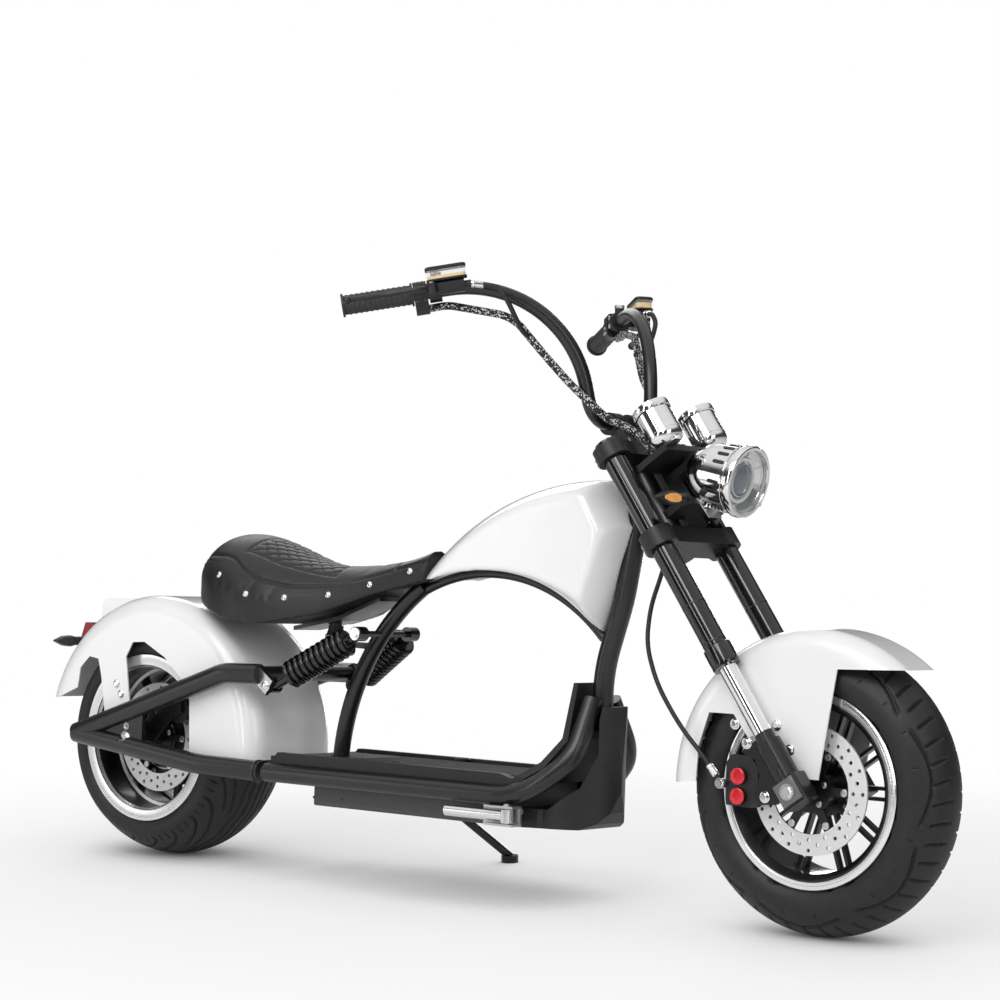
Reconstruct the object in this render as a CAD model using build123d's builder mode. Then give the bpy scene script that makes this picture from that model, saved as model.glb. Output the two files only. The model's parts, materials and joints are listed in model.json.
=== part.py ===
from build123d import *
from math import cos, radians, sin, sqrt, tan
import os

# Electric chopper scooter, upright while it is modelled: +X forward, +Y to the rider's left, +Z up.
# The rear axle is at X = 0 and the ground at Z = 0. Every piece is leaned onto the side stand at the end.
# All lengths are in millimetres and all angles in degrees.

# Wheels
wheelbase = 1534.0
rear_radius = 238.0
rear_crown_half = 92.0
rear_crown_drop = 33.0
rear_tyre_half = 106.0
rear_bead_half = 95.0
front_radius = 248.8
front_crown_half = 60.0
front_crown_drop = 37.0
front_tyre_half = 66.0
front_bead_half = 53.0
bead_radius = 152.4
rim_lip_radius = 166.5
rim_lip_width = 5.0
rim_wall = 4.0
seat_gap = 0.3
running_gap = 0.05
axle_radius = 7.5
disc_radius = 110.0
disc_thickness = 4.0
disc_ring_inner = 74.0
disc_carrier_radius = 38.0
disc_arm_count = 6
disc_arm_width = 15.0
disc_hole_radius = 3.5
disc_hole_count = 16
disc_holes = ((83.0, 0.0), (92.0, 11.25), (101.0, 0.0))
caliper_outer = 34.0
caliper_inner = 12.0
caliper_bracket_thickness = 6.0
spacer_radius = 14.0

# Front end
rake = 35.2
steer_offset = 25.0
leg_half_track = 100.0
leg_radius = 21.5
leg_cap_height = 8.0
leg_bottom = 262.0
collar_radius = 25.0
collar_length = 36.0
slider_radius = 16.5
slider_foot_top = 95.0
lower_clamp_height = 505.0
clamp_thickness = 34.0
top_clamp_height = 690.0
top_clamp_thickness = 28.0
clamp_wall = 9.0
stem_radius = 15.0
head_tube_radius = 28.0
head_cup_radius = 32.0
head_cup_length = 14.0
head_gap = 1.0
bar_radius = 12.5
bar_forward = 16.0
bar_rise = 62.0
bar_base_half = 90.0
riser_half_track = 28.0
riser_radius = 13.0
grip_length = 128.0
grip_radius = 17.0
grip_cap = 6.0
grip_flange = 4.0
grip_flange_width = 4.0
switch_collar_radius = 21.0
switch_width = 24.0
master_clamp_radius = 20.0
master_clamp_width = 22.0
master_forward = 36.0
master_pivot_reach = 2.0
master_length = 66.0
reservoir_width = 37.0
reservoir_length = 73.0
reservoir_height = 26.0
lever_radius = 5.0
lever_ball_radius = 8.0
lever_end = 12.0
mirror_hole_radius = 4.0
mirror_hole_depth = 14.0
mirror_boss_radius = 9.0
mirror_boss_top = 34.0
harness_radius = 7.0
hose_radius = 4.0

# Frame
rail_radius = 18.0
rail_half_track = 130.0
rail_height = 196.0
pivot_x = 352.0
down_tube_radius = 19.0
seat_tube_radius = 16.0
tank_tube_radius = 9.0
arm_radius = 20.0
arm_half_track = 150.0
arm_toe_in = 12.0
arm_plate_thickness = 10.0
deck_half_width = 126.0
deck_thickness = 14.0
deck_rear_x = 372.0
deck_front_back = 569.0
deck_rib_count = 11
deck_rib_pitch = 16.0
deck_rib_width = 8.0
deck_rib_height = 2.0
deck_rib_rear_x = 520.0
deck_rib_margin = 21.0
deck_ridge_width = 16.0
deck_ridge_height = 7.0
battery_half_width = 112.0
battery_front_gap = 25.0
battery_rear_x = 466.0
battery_bottom = 139.0

# Rear fender
fender_centre_x = 20.0
fender_centre_z = 226.0
fender_radius = 300.0
fender_half_width = 124.0
fender_wall = 3.0
fender_edge_radius = 42.0

# Front fender
front_fender_radius = 272.0
foot_radius = 22.0
foot_block_half = 25.0
front_fender_half_width = leg_half_track - foot_radius - seat_gap
front_fender_wall = 3.0
front_fender_edge_radius = 40.0

# Parking
lean = 4.0

RIGHT = -1
LEFT = 1
SIDES = (("left", LEFT), ("right", RIGHT))

# Worked out from the sizes above
rake_sin = sin(radians(rake))
rake_cos = cos(radians(rake))
rear_axle = (0.0, 0.0, rear_radius)
front_axle_point = (wheelbase, 0.0, front_radius)
clamp_low = lower_clamp_height - clamp_thickness / 2
clamp_high = lower_clamp_height + clamp_thickness / 2
top_clamp_low = top_clamp_height - top_clamp_thickness / 2
top_clamp_high = top_clamp_height + top_clamp_thickness / 2
bar_height = top_clamp_high + bar_rise
gauge_low = top_clamp_low - 33
leg_top = top_clamp_high + leg_cap_height

# The fork's own plane: its x points forward and up across the legs, its z runs up the steering axis.
fork_plane = Plane(
    origin=(wheelbase - steer_offset * rake_cos, 0, front_radius - steer_offset * rake_sin),
    x_dir=(rake_cos, 0, rake_sin),
    z_dir=(-rake_sin, 0, rake_cos),
)


def fork_point(forward, across, height):
    """Where a point of the fork's own plane lies in the scooter."""
    return fork_plane.from_local_coords(Vector(forward, across, height))


def tube(points, radius, bend=None, bore=0):
    """A round bar or pipe along straight runs, joined by tangent arcs where a bend is given."""
    with BuildPart() as pipe:
        with BuildLine() as path:
            if bend is None:
                Polyline(*points)
            else:
                FilletPolyline(*points, radius=bend)
        with BuildSketch(Plane(origin=path.line @ 0, z_dir=path.line % 0)):
            Circle(radius)
            if bore:
                Circle(bore, mode=Mode.SUBTRACT)
        sweep()
    return pipe.part


def bent_tube(start, middle, end, radius):
    """A round bar bent to one arc through three points."""
    with BuildPart() as pipe:
        with BuildLine() as path:
            ThreePointArc(start, middle, end)
        with BuildSketch(Plane(origin=path.line @ 0, z_dir=path.line % 0)):
            Circle(radius)
        sweep()
    return pipe.part


def across(points, half_from, half_to):
    """A slab with the side profile given by points (x, z), from one Y to another."""
    with BuildPart() as slab:
        with BuildSketch(Plane.XZ.offset(-half_to)):
            with BuildLine():
                Polyline(*points, close=True)
            make_face()
        extrude(amount=half_to - half_from)
    return slab.part


def span_y(side, inner, outer):
    """The Y range between two distances from the middle, on one side."""
    return (inner, outer) if side == LEFT else (-outer, -inner)


def wheel_ring(centre, profile):
    """A ring turned about a wheel's axle from a closed profile of (y, radius) points."""
    with BuildPart() as ring:
        with BuildSketch(Plane(origin=centre, x_dir=(0, 1, 0), z_dir=(1, 0, 0))):
            with BuildLine():
                Polyline(*profile, close=True)
            make_face()
        revolve(axis=Axis(centre, (0, 1, 0)))
    return ring.part


def tyre(centre, radius, crown_half, crown_drop, widest, bead_half):
    """A tyre turned from a crown arc, two sidewall arcs and a flat bead seat."""
    shoulder = radius - crown_drop
    bulge = (shoulder + rim_lip_radius) / 2
    bore = bead_radius + seat_gap
    with BuildPart() as ring:
        with BuildSketch(Plane(origin=centre, x_dir=(0, 1, 0), z_dir=(1, 0, 0))):
            with BuildLine():
                ThreePointArc((-crown_half, shoulder), (0, radius), (crown_half, shoulder))
                ThreePointArc((crown_half, shoulder), (widest, bulge), (bead_half, rim_lip_radius))
                Polyline(
                    (bead_half, rim_lip_radius),
                    (bead_half - rim_lip_width, bore),
                    (rim_lip_width - bead_half, bore),
                    (-bead_half, rim_lip_radius),
                )
                ThreePointArc((-bead_half, rim_lip_radius), (-widest, bulge), (-crown_half, shoulder))
            make_face()
        revolve(axis=Axis(centre, (0, 1, 0)))
    return ring.part


def wheel_disc(centre, y_from, y_to, outer, inner=0):
    """A flat round plate or drum about a wheel's axle."""
    with BuildPart() as plate:
        with BuildSketch(Plane(origin=(centre[0], y_to, centre[2]), x_dir=(1, 0, 0), z_dir=(0, -1, 0))):
            Circle(outer)
            if inner:
                Circle(inner, mode=Mode.SUBTRACT)
        extrude(amount=y_to - y_from)
    return plate.part


def brake_disc(centre, y_from):
    """A drilled brake ring on a six-armed carrier."""
    with BuildPart() as disc:
        outer_face = (centre[0], y_from + disc_thickness, centre[2])
        with BuildSketch(Plane(origin=outer_face, x_dir=(1, 0, 0), z_dir=(0, -1, 0))):
            Circle(disc_radius)
            Circle(disc_ring_inner, mode=Mode.SUBTRACT)
            for hole_circle, start in disc_holes:
                with PolarLocations(hole_circle, disc_hole_count, start_angle=start):
                    Circle(disc_hole_radius, mode=Mode.SUBTRACT)
            Circle(disc_carrier_radius)
            with PolarLocations((disc_carrier_radius + disc_ring_inner) / 2, disc_arm_count):
                Rectangle(disc_ring_inner - disc_carrier_radius + 8, disc_arm_width)
            Circle(axle_radius + 4, mode=Mode.SUBTRACT)
        extrude(amount=disc_thickness)
    return disc.part


def cord(points, radius):
    """A hose or cable along straight runs, each joined by as large an arc as its two runs allow."""
    route = [Vector(*point) for point in points]
    bends = []
    for before, here, after in zip(route, route[1:], route[2:]):
        turn = (here - before).get_angle(after - here)
        shorter = min((here - before).length, (after - here).length)
        bends.append(0.45 * shorter / tan(radians(turn / 2)))
    print("cord bends", [round(bend) for bend in bends])
    return tube(points, radius, bends)


# Rear wheel
rear_tyre_part = tyre(rear_axle, rear_radius, rear_crown_half, rear_crown_drop, rear_tyre_half, rear_bead_half)
with BuildPart() as rear_tyre:
    add(rear_tyre_part)

hub_radius = 92.0
hub_half = 42.0
hub_boss = 14.0
rear_spoke_count = 8
rear_rim_edge = rear_bead_half + 1.0
with BuildPart() as rear_rim:
    add(
        wheel_ring(
            rear_axle,
            [
                (-rear_rim_edge - rim_lip_width, rim_lip_radius),
                (-rear_rim_edge, rim_lip_radius),
                (-rear_rim_edge + rim_lip_width, bead_radius),
                (rear_rim_edge - rim_lip_width, bead_radius),
                (rear_rim_edge, rim_lip_radius),
                (rear_rim_edge + rim_lip_width, rim_lip_radius),
                (rear_rim_edge + rim_lip_width, bead_radius - 6),
                (rear_rim_edge - 8, bead_radius - 6 - rim_wall),
                (8 - rear_rim_edge, bead_radius - 6 - rim_wall),
                (-rear_rim_edge - rim_lip_width, bead_radius - 6),
            ],
        )
    )
    with BuildSketch(Plane(origin=(0, 6, rear_radius), x_dir=(1, 0, 0), z_dir=(0, -1, 0))):
        with PolarLocations((hub_radius + bead_radius - 6) / 2, rear_spoke_count):
            Rectangle(bead_radius - 6 - hub_radius, 14)
        Circle(hub_radius + 8)
        Circle(hub_radius + seat_gap, mode=Mode.SUBTRACT)
    extrude(amount=12)

with BuildPart() as hub_motor:
    add(wheel_disc(rear_axle, -hub_half, hub_half, hub_radius))
    add(wheel_disc(rear_axle, -hub_half - hub_boss, hub_half + hub_boss, 38))
    chamfer(hub_motor.edges().filter_by(GeomType.CIRCLE).sort_by(Axis.Y)[0], 4)
    add(wheel_disc(rear_axle, -hub_half - hub_boss, hub_half + hub_boss, axle_radius + running_gap), mode=Mode.SUBTRACT)

rear_disc_y = -hub_half - hub_boss - disc_thickness
with BuildPart() as rear_disc:
    add(brake_disc(rear_axle, rear_disc_y))

# Front wheel
front_tyre_part = tyre(
    front_axle_point, front_radius, front_crown_half, front_crown_drop, front_tyre_half, front_bead_half
)
with BuildPart() as front_tyre:
    add(front_tyre_part)

front_hub_radius = 34.0
front_hub_half = 48.0
front_spoke_pairs = 10
front_rim_edge = front_bead_half + 1.0
with BuildPart() as front_rim:
    add(
        wheel_ring(
            front_axle_point,
            [
                (-front_rim_edge - rim_lip_width, rim_lip_radius),
                (-front_rim_edge, rim_lip_radius),
                (-front_rim_edge + rim_lip_width, bead_radius),
                (front_rim_edge - rim_lip_width, bead_radius),
                (front_rim_edge, rim_lip_radius),
                (front_rim_edge + rim_lip_width, rim_lip_radius),
                (front_rim_edge + rim_lip_width, bead_radius - 2),
                (front_rim_edge - 6, bead_radius - 12),
                (6 - front_rim_edge, bead_radius - 12),
                (-front_rim_edge - rim_lip_width, bead_radius - 2),
            ],
        )
    )
    with BuildSketch(Plane(origin=(wheelbase, 7, front_radius), x_dir=(1, 0, 0), z_dir=(0, -1, 0))):
        Circle(front_hub_radius + 12)
        with PolarLocations((front_hub_radius + bead_radius - 12) / 2, front_spoke_pairs):
            with Locations((0, 9), (0, -9)):
                Rectangle(bead_radius - front_hub_radius - 4, 6)
    extrude(amount=14)
    add(wheel_disc(front_axle_point, -front_hub_half, front_hub_half, front_hub_radius))
    add(wheel_disc(front_axle_point, -front_hub_half, front_hub_half, axle_radius + running_gap), mode=Mode.SUBTRACT)

front_disc_y = -front_hub_half - disc_thickness
with BuildPart() as front_disc:
    add(brake_disc(front_axle_point, front_disc_y))

# Frame tubes
head_low = clamp_high + head_gap
head_high = top_clamp_low - head_gap
down_tube_foot_x = wheelbase - 464
down_tube_stations = [(wheelbase - 429, 0, 555), (wheelbase - 476, 0, 405), (down_tube_foot_x, 0, 318)]
down_tube_top = fork_point(-6, 0, head_high - 35)
with BuildPart() as frame_spine:
    down_tube_route = [(down_tube_top.X, 0, down_tube_top.Z), *down_tube_stations]
    add(tube(down_tube_route, down_tube_radius, [420, 300]))
    with BuildSketch(fork_plane.offset(head_low)):
        Circle(head_tube_radius)
    extrude(amount=head_high - head_low)
    for cup_height in (head_low, head_high - head_cup_length):
        with BuildSketch(fork_plane.offset(cup_height)):
            Circle(head_cup_radius)
        extrude(amount=head_cup_length)
    with BuildSketch(fork_plane.offset(head_low)):
        Circle(stem_radius + running_gap)
    extrude(amount=head_high - head_low, mode=Mode.SUBTRACT)

rail_front = (wheelbase - 472, down_tube_radius + rail_radius * 0.6, 372)
side_rails = {}
for name, side in SIDES:
    with BuildPart() as rail:
        rail_points = [
            (pivot_x + 14, side * rail_half_track, rail_height),
            (wheelbase - 549, side * rail_half_track, rail_height),
            (wheelbase - 466, side * 88, 270),
            (rail_front[0], side * rail_front[1], rail_front[2]),
        ]
        add(tube(rail_points, rail_radius, [150, 90]))
        add(frame_spine.part, mode=Mode.SUBTRACT)
    side_rails[name] = rail

cross_tube_radius = 17.0
with BuildPart() as rear_cross_tube:
    cross_end = rail_half_track - 4
    add(tube([(pivot_x + 32, -cross_end, rail_height), (pivot_x + 32, cross_end, rail_height)], cross_tube_radius))
    for name, side in SIDES:
        add(side_rails[name].part, mode=Mode.SUBTRACT)

seat_tube_foot = (440, 0, rail_height)
seat_tube_bend = (516, 0, 440)
seat_tube_head = (640, 0, 566)
shock_top = (543, 76, 470)
shock_eye_half = 13.0
gusset_half = 4.0
shock_bottom = (366, arm_half_track - arm_toe_in - gusset_half - shock_eye_half - seat_gap, 362)
shock_pin_radius = 6.0
seat_sections = [
    # x, half width, low, shoulder, top
    (96, 46, 540, 575, 612),
    (150, 110, 512, 570, 650),
    (240, 148, 486, 550, 655),
    (340, 142, 478, 540, 622),
    (450, 104, 500, 545, 596),
    (560, 66, 542, 572, 606),
    (672, 40, 574, 596, 640),
]
seat_mount_x = 416.0
seat_mount_drop = 42.0
seat_mount_foot = 493.3 - seat_mount_drop
with BuildPart() as seat_tube:
    cross_end = rail_half_track - 4
    add(bent_tube(seat_tube_foot, seat_tube_bend, seat_tube_head, seat_tube_radius))
    foot_x = seat_tube_foot[0]
    add(tube([(foot_x, -cross_end, rail_height), (foot_x, cross_end, rail_height)], cross_tube_radius))
    for name, side in SIDES:
        add(side_rails[name].part, mode=Mode.SUBTRACT)
    arm_top = seat_mount_foot - seat_gap
    add(across([(394, arm_top - 6), (524, arm_top - 12), (524, arm_top), (394, arm_top)], -18, 18))
    pin_end = shock_top[1] + 14
    add(tube([(shock_top[0], -pin_end, shock_top[2]), (shock_top[0], pin_end, shock_top[2])], shock_pin_radius))

tank_tube_rear_x = seat_tube_head[0] - 8
tank_tube_front_x = wheelbase - 472
tank_arch_x = tank_tube_rear_x + 0.437 * (tank_tube_front_x - tank_tube_rear_x)
tank_tube_route = ((tank_tube_rear_x, 0, 553), (tank_arch_x, 0, 594), (tank_tube_front_x, 0, 484))
with BuildPart() as under_tank_tube:
    add(bent_tube(*tank_tube_route, tank_tube_radius))
    add(seat_tube.part, mode=Mode.SUBTRACT)
    add(frame_spine.part, mode=Mode.SUBTRACT)

# Swing arm
arm_tip = (-146, 240)
arm_upper_bend = (262, 382)
arm_upper_end = (346, 384)
arm_lower_bend = (200, 200)
arm_lower_end = (pivot_x, rail_height)
swingarms = {}
for name, side in SIDES:
    with BuildPart() as arm:
        arm_y = side * arm_half_track
        add(
            tube(
                [
                    (arm_tip[0], arm_y, arm_tip[1]),
                    (arm_upper_bend[0], arm_y, arm_upper_bend[1]),
                    (arm_upper_end[0], side * (arm_half_track - arm_toe_in), arm_upper_end[1]),
                ],
                arm_radius,
                90,
            )
        )
        add(
            tube(
                [
                    (arm_tip[0], arm_y, arm_tip[1]),
                    (arm_lower_bend[0], arm_y, arm_lower_bend[1]),
                    (arm_lower_end[0], side * rail_half_track, arm_lower_end[1]),
                ],
                arm_radius,
                300,
            )
        )
        plate = [(-130, 245), (46, 302), (46, 222), (-30, 222)]
        add(across(plate, arm_y - arm_plate_thickness / 2, arm_y + arm_plate_thickness / 2))
        wheel_face = hub_half + hub_boss + 1
        if side == RIGHT:
            wheel_face += caliper_outer + disc_thickness - 1 + caliper_bracket_thickness + seat_gap
        add(wheel_disc(rear_axle, *span_y(side, wheel_face, arm_half_track), spacer_radius + 2))
        gusset = [(318, 400), (346, 400), (384, 372), (366, 344), (330, 372)]
        gusset_y = side * (arm_half_track - arm_toe_in)
        add(across(gusset, gusset_y - gusset_half, gusset_y + gusset_half))
        pin_y = side * shock_bottom[1]
        pin_half = shock_eye_half + gusset_half
        add(wheel_disc((shock_bottom[0], 0, shock_bottom[2]), pin_y - pin_half, pin_y + pin_half, shock_pin_radius))
        tab_outer = fender_half_width - fender_wall - seat_gap
        add(across([(-88, 262), (-34, 262), (-34, 352), (-88, 352)], *span_y(side, tab_outer - 5, tab_outer)))
        add(across([(-84, 262), (-38, 262), (-38, 281), (-84, 281)], *span_y(side, tab_outer - 5, arm_half_track - 8)))
        axle_hole = span_y(side, wheel_face - 5, arm_half_track + 40)
        add(wheel_disc(rear_axle, *axle_hole, axle_radius + running_gap), mode=Mode.SUBTRACT)
    swingarms[name] = arm

with BuildPart() as swingarm_bridge:
    bridge_end = arm_half_track - arm_toe_in
    add(tube([(338, -bridge_end, 384), (338, bridge_end, 384)], 15))
    for name, side in SIDES:
        add(swingarms[name].part, mode=Mode.SUBTRACT)

with BuildPart() as rear_axle_bar:
    axle_end = arm_half_track + arm_plate_thickness
    add(wheel_disc(rear_axle, -axle_end, axle_end, axle_radius))

shocks = {}
coil_radius = 24.0
coil_wire = 4.5
coil_turns = 11
for name, side in SIDES:
    low = Vector(shock_bottom[0], side * shock_bottom[1], shock_bottom[2])
    high = Vector(shock_top[0], side * shock_top[1], shock_top[2])
    span = high - low
    shock_plane = Plane(origin=low, z_dir=span)
    with BuildPart() as shock:
        with BuildSketch(shock_plane.offset(-8)):
            Circle(11)
        extrude(amount=span.length + 4)
        with BuildSketch(shock_plane.offset(40)):
            Circle(coil_radius - coil_wire / 2)
        extrude(amount=span.length - 66)
        with BuildSketch(Plane(origin=low, x_dir=span.normalized(), z_dir=Plane(origin=low, z_dir=span).x_dir)):
            coil_pitch = (span.length - 82) / (coil_turns - 1)
            with Locations([(48 + turn * coil_pitch, coil_radius) for turn in range(coil_turns)]):
                Circle(coil_wire)
        revolve(axis=Axis(low, span))
        for eye in (low, high):
            with BuildSketch(Plane(origin=(eye.X, eye.Y + shock_eye_half, eye.Z), x_dir=(1, 0, 0), z_dir=(0, -1, 0))):
                Circle(14)
            extrude(amount=2 * shock_eye_half)
            with BuildSketch(Plane(origin=(eye.X, eye.Y + 40, eye.Z), x_dir=(1, 0, 0), z_dir=(0, -1, 0))):
                Circle(shock_pin_radius + running_gap)
            extrude(amount=80, mode=Mode.SUBTRACT)
    shocks[name] = shock

# Deck, battery box and belly pan
deck_low = rail_height + rail_radius + seat_gap
deck_front_x = wheelbase - deck_front_back
with BuildPart() as deck_mat:
    deck_profile = [
        (deck_rear_x, deck_low),
        (deck_front_x, deck_low),
        (deck_front_x + 53, 250),
        (deck_front_x + 75, 300),
        (deck_front_x + 71, 402),
        (deck_front_x + 61, 402),
        (deck_front_x + 62, 304),
        (deck_front_x + 41, 260),
        (deck_front_x - 3, deck_low + deck_thickness),
        (deck_rear_x, deck_low + deck_thickness),
    ]
    add(across(deck_profile, -deck_half_width, deck_half_width))
    with BuildSketch(Plane.YZ.offset(deck_rear_x - 10)):
        with BuildLine():
            Polyline(
                (-deck_half_width, deck_low - 10),
                (deck_half_width, deck_low - 10),
                (deck_half_width, 232),
                (70, 300),
                (36, 410),
                (-36, 410),
                (-70, 300),
                (-deck_half_width, 232),
                close=True,
            )
        make_face()
    extrude(amount=wheelbase, mode=Mode.INTERSECT)
    for rib in range(deck_rib_count):
        rib_y = (rib - (deck_rib_count - 1) / 2) * deck_rib_pitch
        rib_top = deck_low + deck_thickness + deck_rib_height
        rib_profile = [
            (deck_rib_rear_x, deck_low + deck_thickness - 1),
            (deck_front_x - deck_rib_margin, deck_low + deck_thickness - 1),
            (deck_front_x - deck_rib_margin - 4, rib_top),
            (deck_rib_rear_x + 4, rib_top),
        ]
        add(across(rib_profile, rib_y - deck_rib_width / 2, rib_y + deck_rib_width / 2))
    for name, side in SIDES:
        ridge_top = deck_low + deck_thickness + deck_ridge_height
        ridge = [
            (deck_rear_x, deck_low),
            (deck_front_x - 7, deck_low),
            (deck_front_x - 7, deck_low + deck_thickness),
            (deck_front_x - 35, ridge_top),
            (deck_rear_x + 16, ridge_top),
        ]
        add(across(ridge, *span_y(side, deck_half_width - deck_ridge_width, deck_half_width)))
    add(bent_tube(seat_tube_foot, seat_tube_bend, seat_tube_head, seat_tube_radius + 3), mode=Mode.SUBTRACT)
    for name, side in SIDES:
        add(side_rails[name].part, mode=Mode.SUBTRACT)

with BuildPart() as battery_box:
    battery_profile = [
        (battery_rear_x, battery_bottom),
        (deck_front_x - battery_front_gap, battery_bottom),
        (deck_front_x - battery_front_gap, deck_low - seat_gap),
        (battery_rear_x, deck_low - seat_gap),
    ]
    add(across(battery_profile, 4 - battery_half_width, battery_half_width - 4))
    chamfer(battery_box.edges().filter_by(Axis.X).group_by(Axis.Z)[0], 9)
    chamfer(battery_box.edges().filter_by(Axis.Z), 6)
    for name, side in SIDES:
        add(side_rails[name].part, mode=Mode.SUBTRACT)

pan_rear_x = deck_front_x - 13
pan_nose_x = wheelbase - 422
pan_back = down_tube_foot_x + down_tube_radius + seat_gap
with BuildPart() as belly_pan:
    pan_profile = [
        (pan_rear_x, battery_bottom),
        (pan_nose_x - 46, battery_bottom + 2),
        (pan_nose_x - 22, 152),
        (pan_nose_x - 8, 172),
        (pan_nose_x, 208),
        (pan_nose_x, 255),
        (pan_nose_x - 4, 310),
        (pan_nose_x - 9, 362),
        (pan_back, 362),
        (pan_back, 276),
        (pan_nose_x - 46, 216),
        (pan_nose_x - 102, 174),
        (pan_rear_x, 174),
    ]
    add(across(pan_profile, -100, 100))
    with BuildSketch(Plane.YZ.offset(pan_rear_x - 12)):
        with BuildLine():
            Polyline(
                (-88, 120),
                (88, 120),
                (100, 150),
                (92, 230),
                (30, 370),
                (-30, 370),
                (-92, 230),
                (-100, 150),
                close=True,
            )
        make_face()
    extrude(amount=220, mode=Mode.INTERSECT)
    with BuildSketch(Plane.XY.offset(100)):
        with BuildLine():
            pan_bow_x = pan_nose_x - 112
            Polyline((pan_bow_x, -84), (pan_rear_x - 12, -98), (pan_rear_x - 12, 98), (pan_bow_x, 84))
            ThreePointArc((pan_bow_x, 84), (pan_nose_x - 29, 50), (pan_nose_x, 0))
            ThreePointArc((pan_nose_x, 0), (pan_nose_x - 29, -50), (pan_bow_x, -84))
        make_face()
    extrude(amount=300, mode=Mode.INTERSECT)

# Tank: sections through its width, each a shell outline between the arched tube and the top curve
tank_rear_x = seat_tube_head[0] + 14
tank_sections = [(-84, 0.5), (0, 0.0), (84, 0.5)]
with BuildPart() as tank:
    for tank_y, inset in tank_sections:
        with BuildSketch(Plane.XZ.offset(-tank_y)):
            with BuildLine():
                rear = (tank_rear_x + 116 * inset, 574)
                low_front = (wheelbase - 470 - 10 * inset, 494 + 116 * inset)
                front = (wheelbase - 398 - 76 * inset, 686 - 30 * inset)
                top_front = (wheelbase - 459 - 40 * inset, 770 - 56 * inset)
                ThreePointArc(rear, (tank_arch_x + 10 + 104 * inset, 606 - 18 * inset), low_front)
                Line(low_front, front)
                Line(front, top_front)
                ThreePointArc(top_front, (tank_arch_x + 32 + 20 * inset, 726 - 66 * inset), rear)
            make_face()
    loft()
    add(frame_spine.part, mode=Mode.SUBTRACT)
    add(under_tank_tube.part, mode=Mode.SUBTRACT)

# Seat
seat_relief = 0.5
with BuildPart() as seat:
    for seat_x, half, low, shoulder, top in seat_sections:
        with BuildSketch(Plane.YZ.offset(seat_x)):
            with BuildLine():
                Line((-half, low - 12), (half, low - 12))
                Line((half, low - 12), (half, shoulder))
                ThreePointArc((half, shoulder), (0, top), (-half, shoulder))
                Line((-half, shoulder), (-half, low - 12))
            make_face()
    loft()
    seat_underside = [(x, low) for x, half, low, shoulder, top in seat_sections]
    add(across(seat_underside + [(700, 400), (60, 400), (60, 540)], -200, 200), mode=Mode.SUBTRACT)
    add(bent_tube(seat_tube_foot, seat_tube_bend, seat_tube_head, seat_tube_radius + seat_relief), mode=Mode.SUBTRACT)
    add(bent_tube(*tank_tube_route, tank_tube_radius + seat_relief), mode=Mode.SUBTRACT)
    add(tank.part, mode=Mode.SUBTRACT)
    for lift in (seat_relief, -seat_relief):
        add(tank.part.moved(Location((-seat_relief, 0, lift))), mode=Mode.SUBTRACT)

# Fenders
def drum(centre, radius, half_width, wall, edge_radius):
    """A hollow drum with rounded edges, from which a fender is cut."""
    with BuildPart() as shell:
        for inset, mode in ((0, Mode.ADD), (wall, Mode.SUBTRACT)):
            outer = radius - inset
            half = half_width - inset
            corner = edge_radius - inset
            with BuildSketch(Plane(origin=centre, x_dir=(0, 1, 0), z_dir=(1, 0, 0))):
                with BuildLine():
                    Polyline((-half, outer - corner), (-half, 0), (half, 0), (half, outer - corner))
                    RadiusArc((half, outer - corner), (half - corner, outer), -corner)
                    Line((half - corner, outer), (corner - half, outer))
                    RadiusArc((corner - half, outer), (-half, outer - corner), -corner)
                make_face()
            revolve(axis=Axis(centre, (0, 1, 0)), mode=mode)
    return shell.part


fender_centre = (fender_centre_x, 0, fender_centre_z)
ledge_half_width = 78.0
with BuildPart() as ledge:
    ledge_profile = [(-168, 440), (-160, 508), (-150, 516), (-60, 518), (10, 516), (10, 440)]
    add(across(ledge_profile, -ledge_half_width, ledge_half_width))
    chamfer(ledge.edges().filter_by(Axis.X).group_by(Axis.Z)[-1], 8)
    add(wheel_disc(fender_centre, -200, 200, fender_radius - fender_wall / 2), mode=Mode.SUBTRACT)

with BuildPart() as rear_fender:
    add(drum(fender_centre, fender_radius, fender_half_width, fender_wall, fender_edge_radius))
    cut_half = fender_half_width + 20
    cuts = [
        [(-400, 306), (-238, 306), (-180, 330), (-176, 60), (-176, -200), (-400, -200)],
        [(-177, 340), (-172, 372), (-146, 396), (-120, 392), (-110, 360), (-96, 286), (-96, -200), (-177, -200)],
        [(-97, 286), (-20, 286), (-20, -200), (-97, -200)],
        [
            (-21, 286),
            (-40, 400),
            (-22, 430),
            (12, 432),
            (70, 404),
            (118, 364),
            (144, 326),
            (150, 214),
            (150, -200),
            (-21, -200),
        ],
        [(149, 214), (420, 214), (420, -200), (149, -200)],
    ]
    for cut in cuts:
        add(across(cut, -cut_half, cut_half), mode=Mode.SUBTRACT)
    add(ledge.part)

front_fender_centre = (wheelbase, 0, front_radius)
with BuildPart() as front_fender:
    add(
        drum(
            front_fender_centre,
            front_fender_radius,
            front_fender_half_width,
            front_fender_wall,
            front_fender_edge_radius,
        )
    )
    fx = wheelbase
    fz = front_radius
    cut_half = front_fender_half_width + 20
    cuts = [
        [(fx + 30, fz + 20), (fx + 60, fz + 206), (fx + 400, fz + 216), (fx + 400, fz - 400), (fx + 30, fz - 400)],
        [(fx + 31, fz + 20), (fx - 30, fz + 20), (fx - 400, fz - 20), (fx - 400, fz - 400), (fx + 31, fz - 400)],
        [
            (fx - 60, fz + 20),
            (fx - 140, fz + 120),
            (fx - 190, fz + 120),
            (fx - 210, fz + 60),
            (fx - 214, fz - 30),
            (fx - 60, fz - 30),
        ],
    ]
    for cut in cuts:
        add(across(cut, -cut_half, cut_half), mode=Mode.SUBTRACT)

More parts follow.
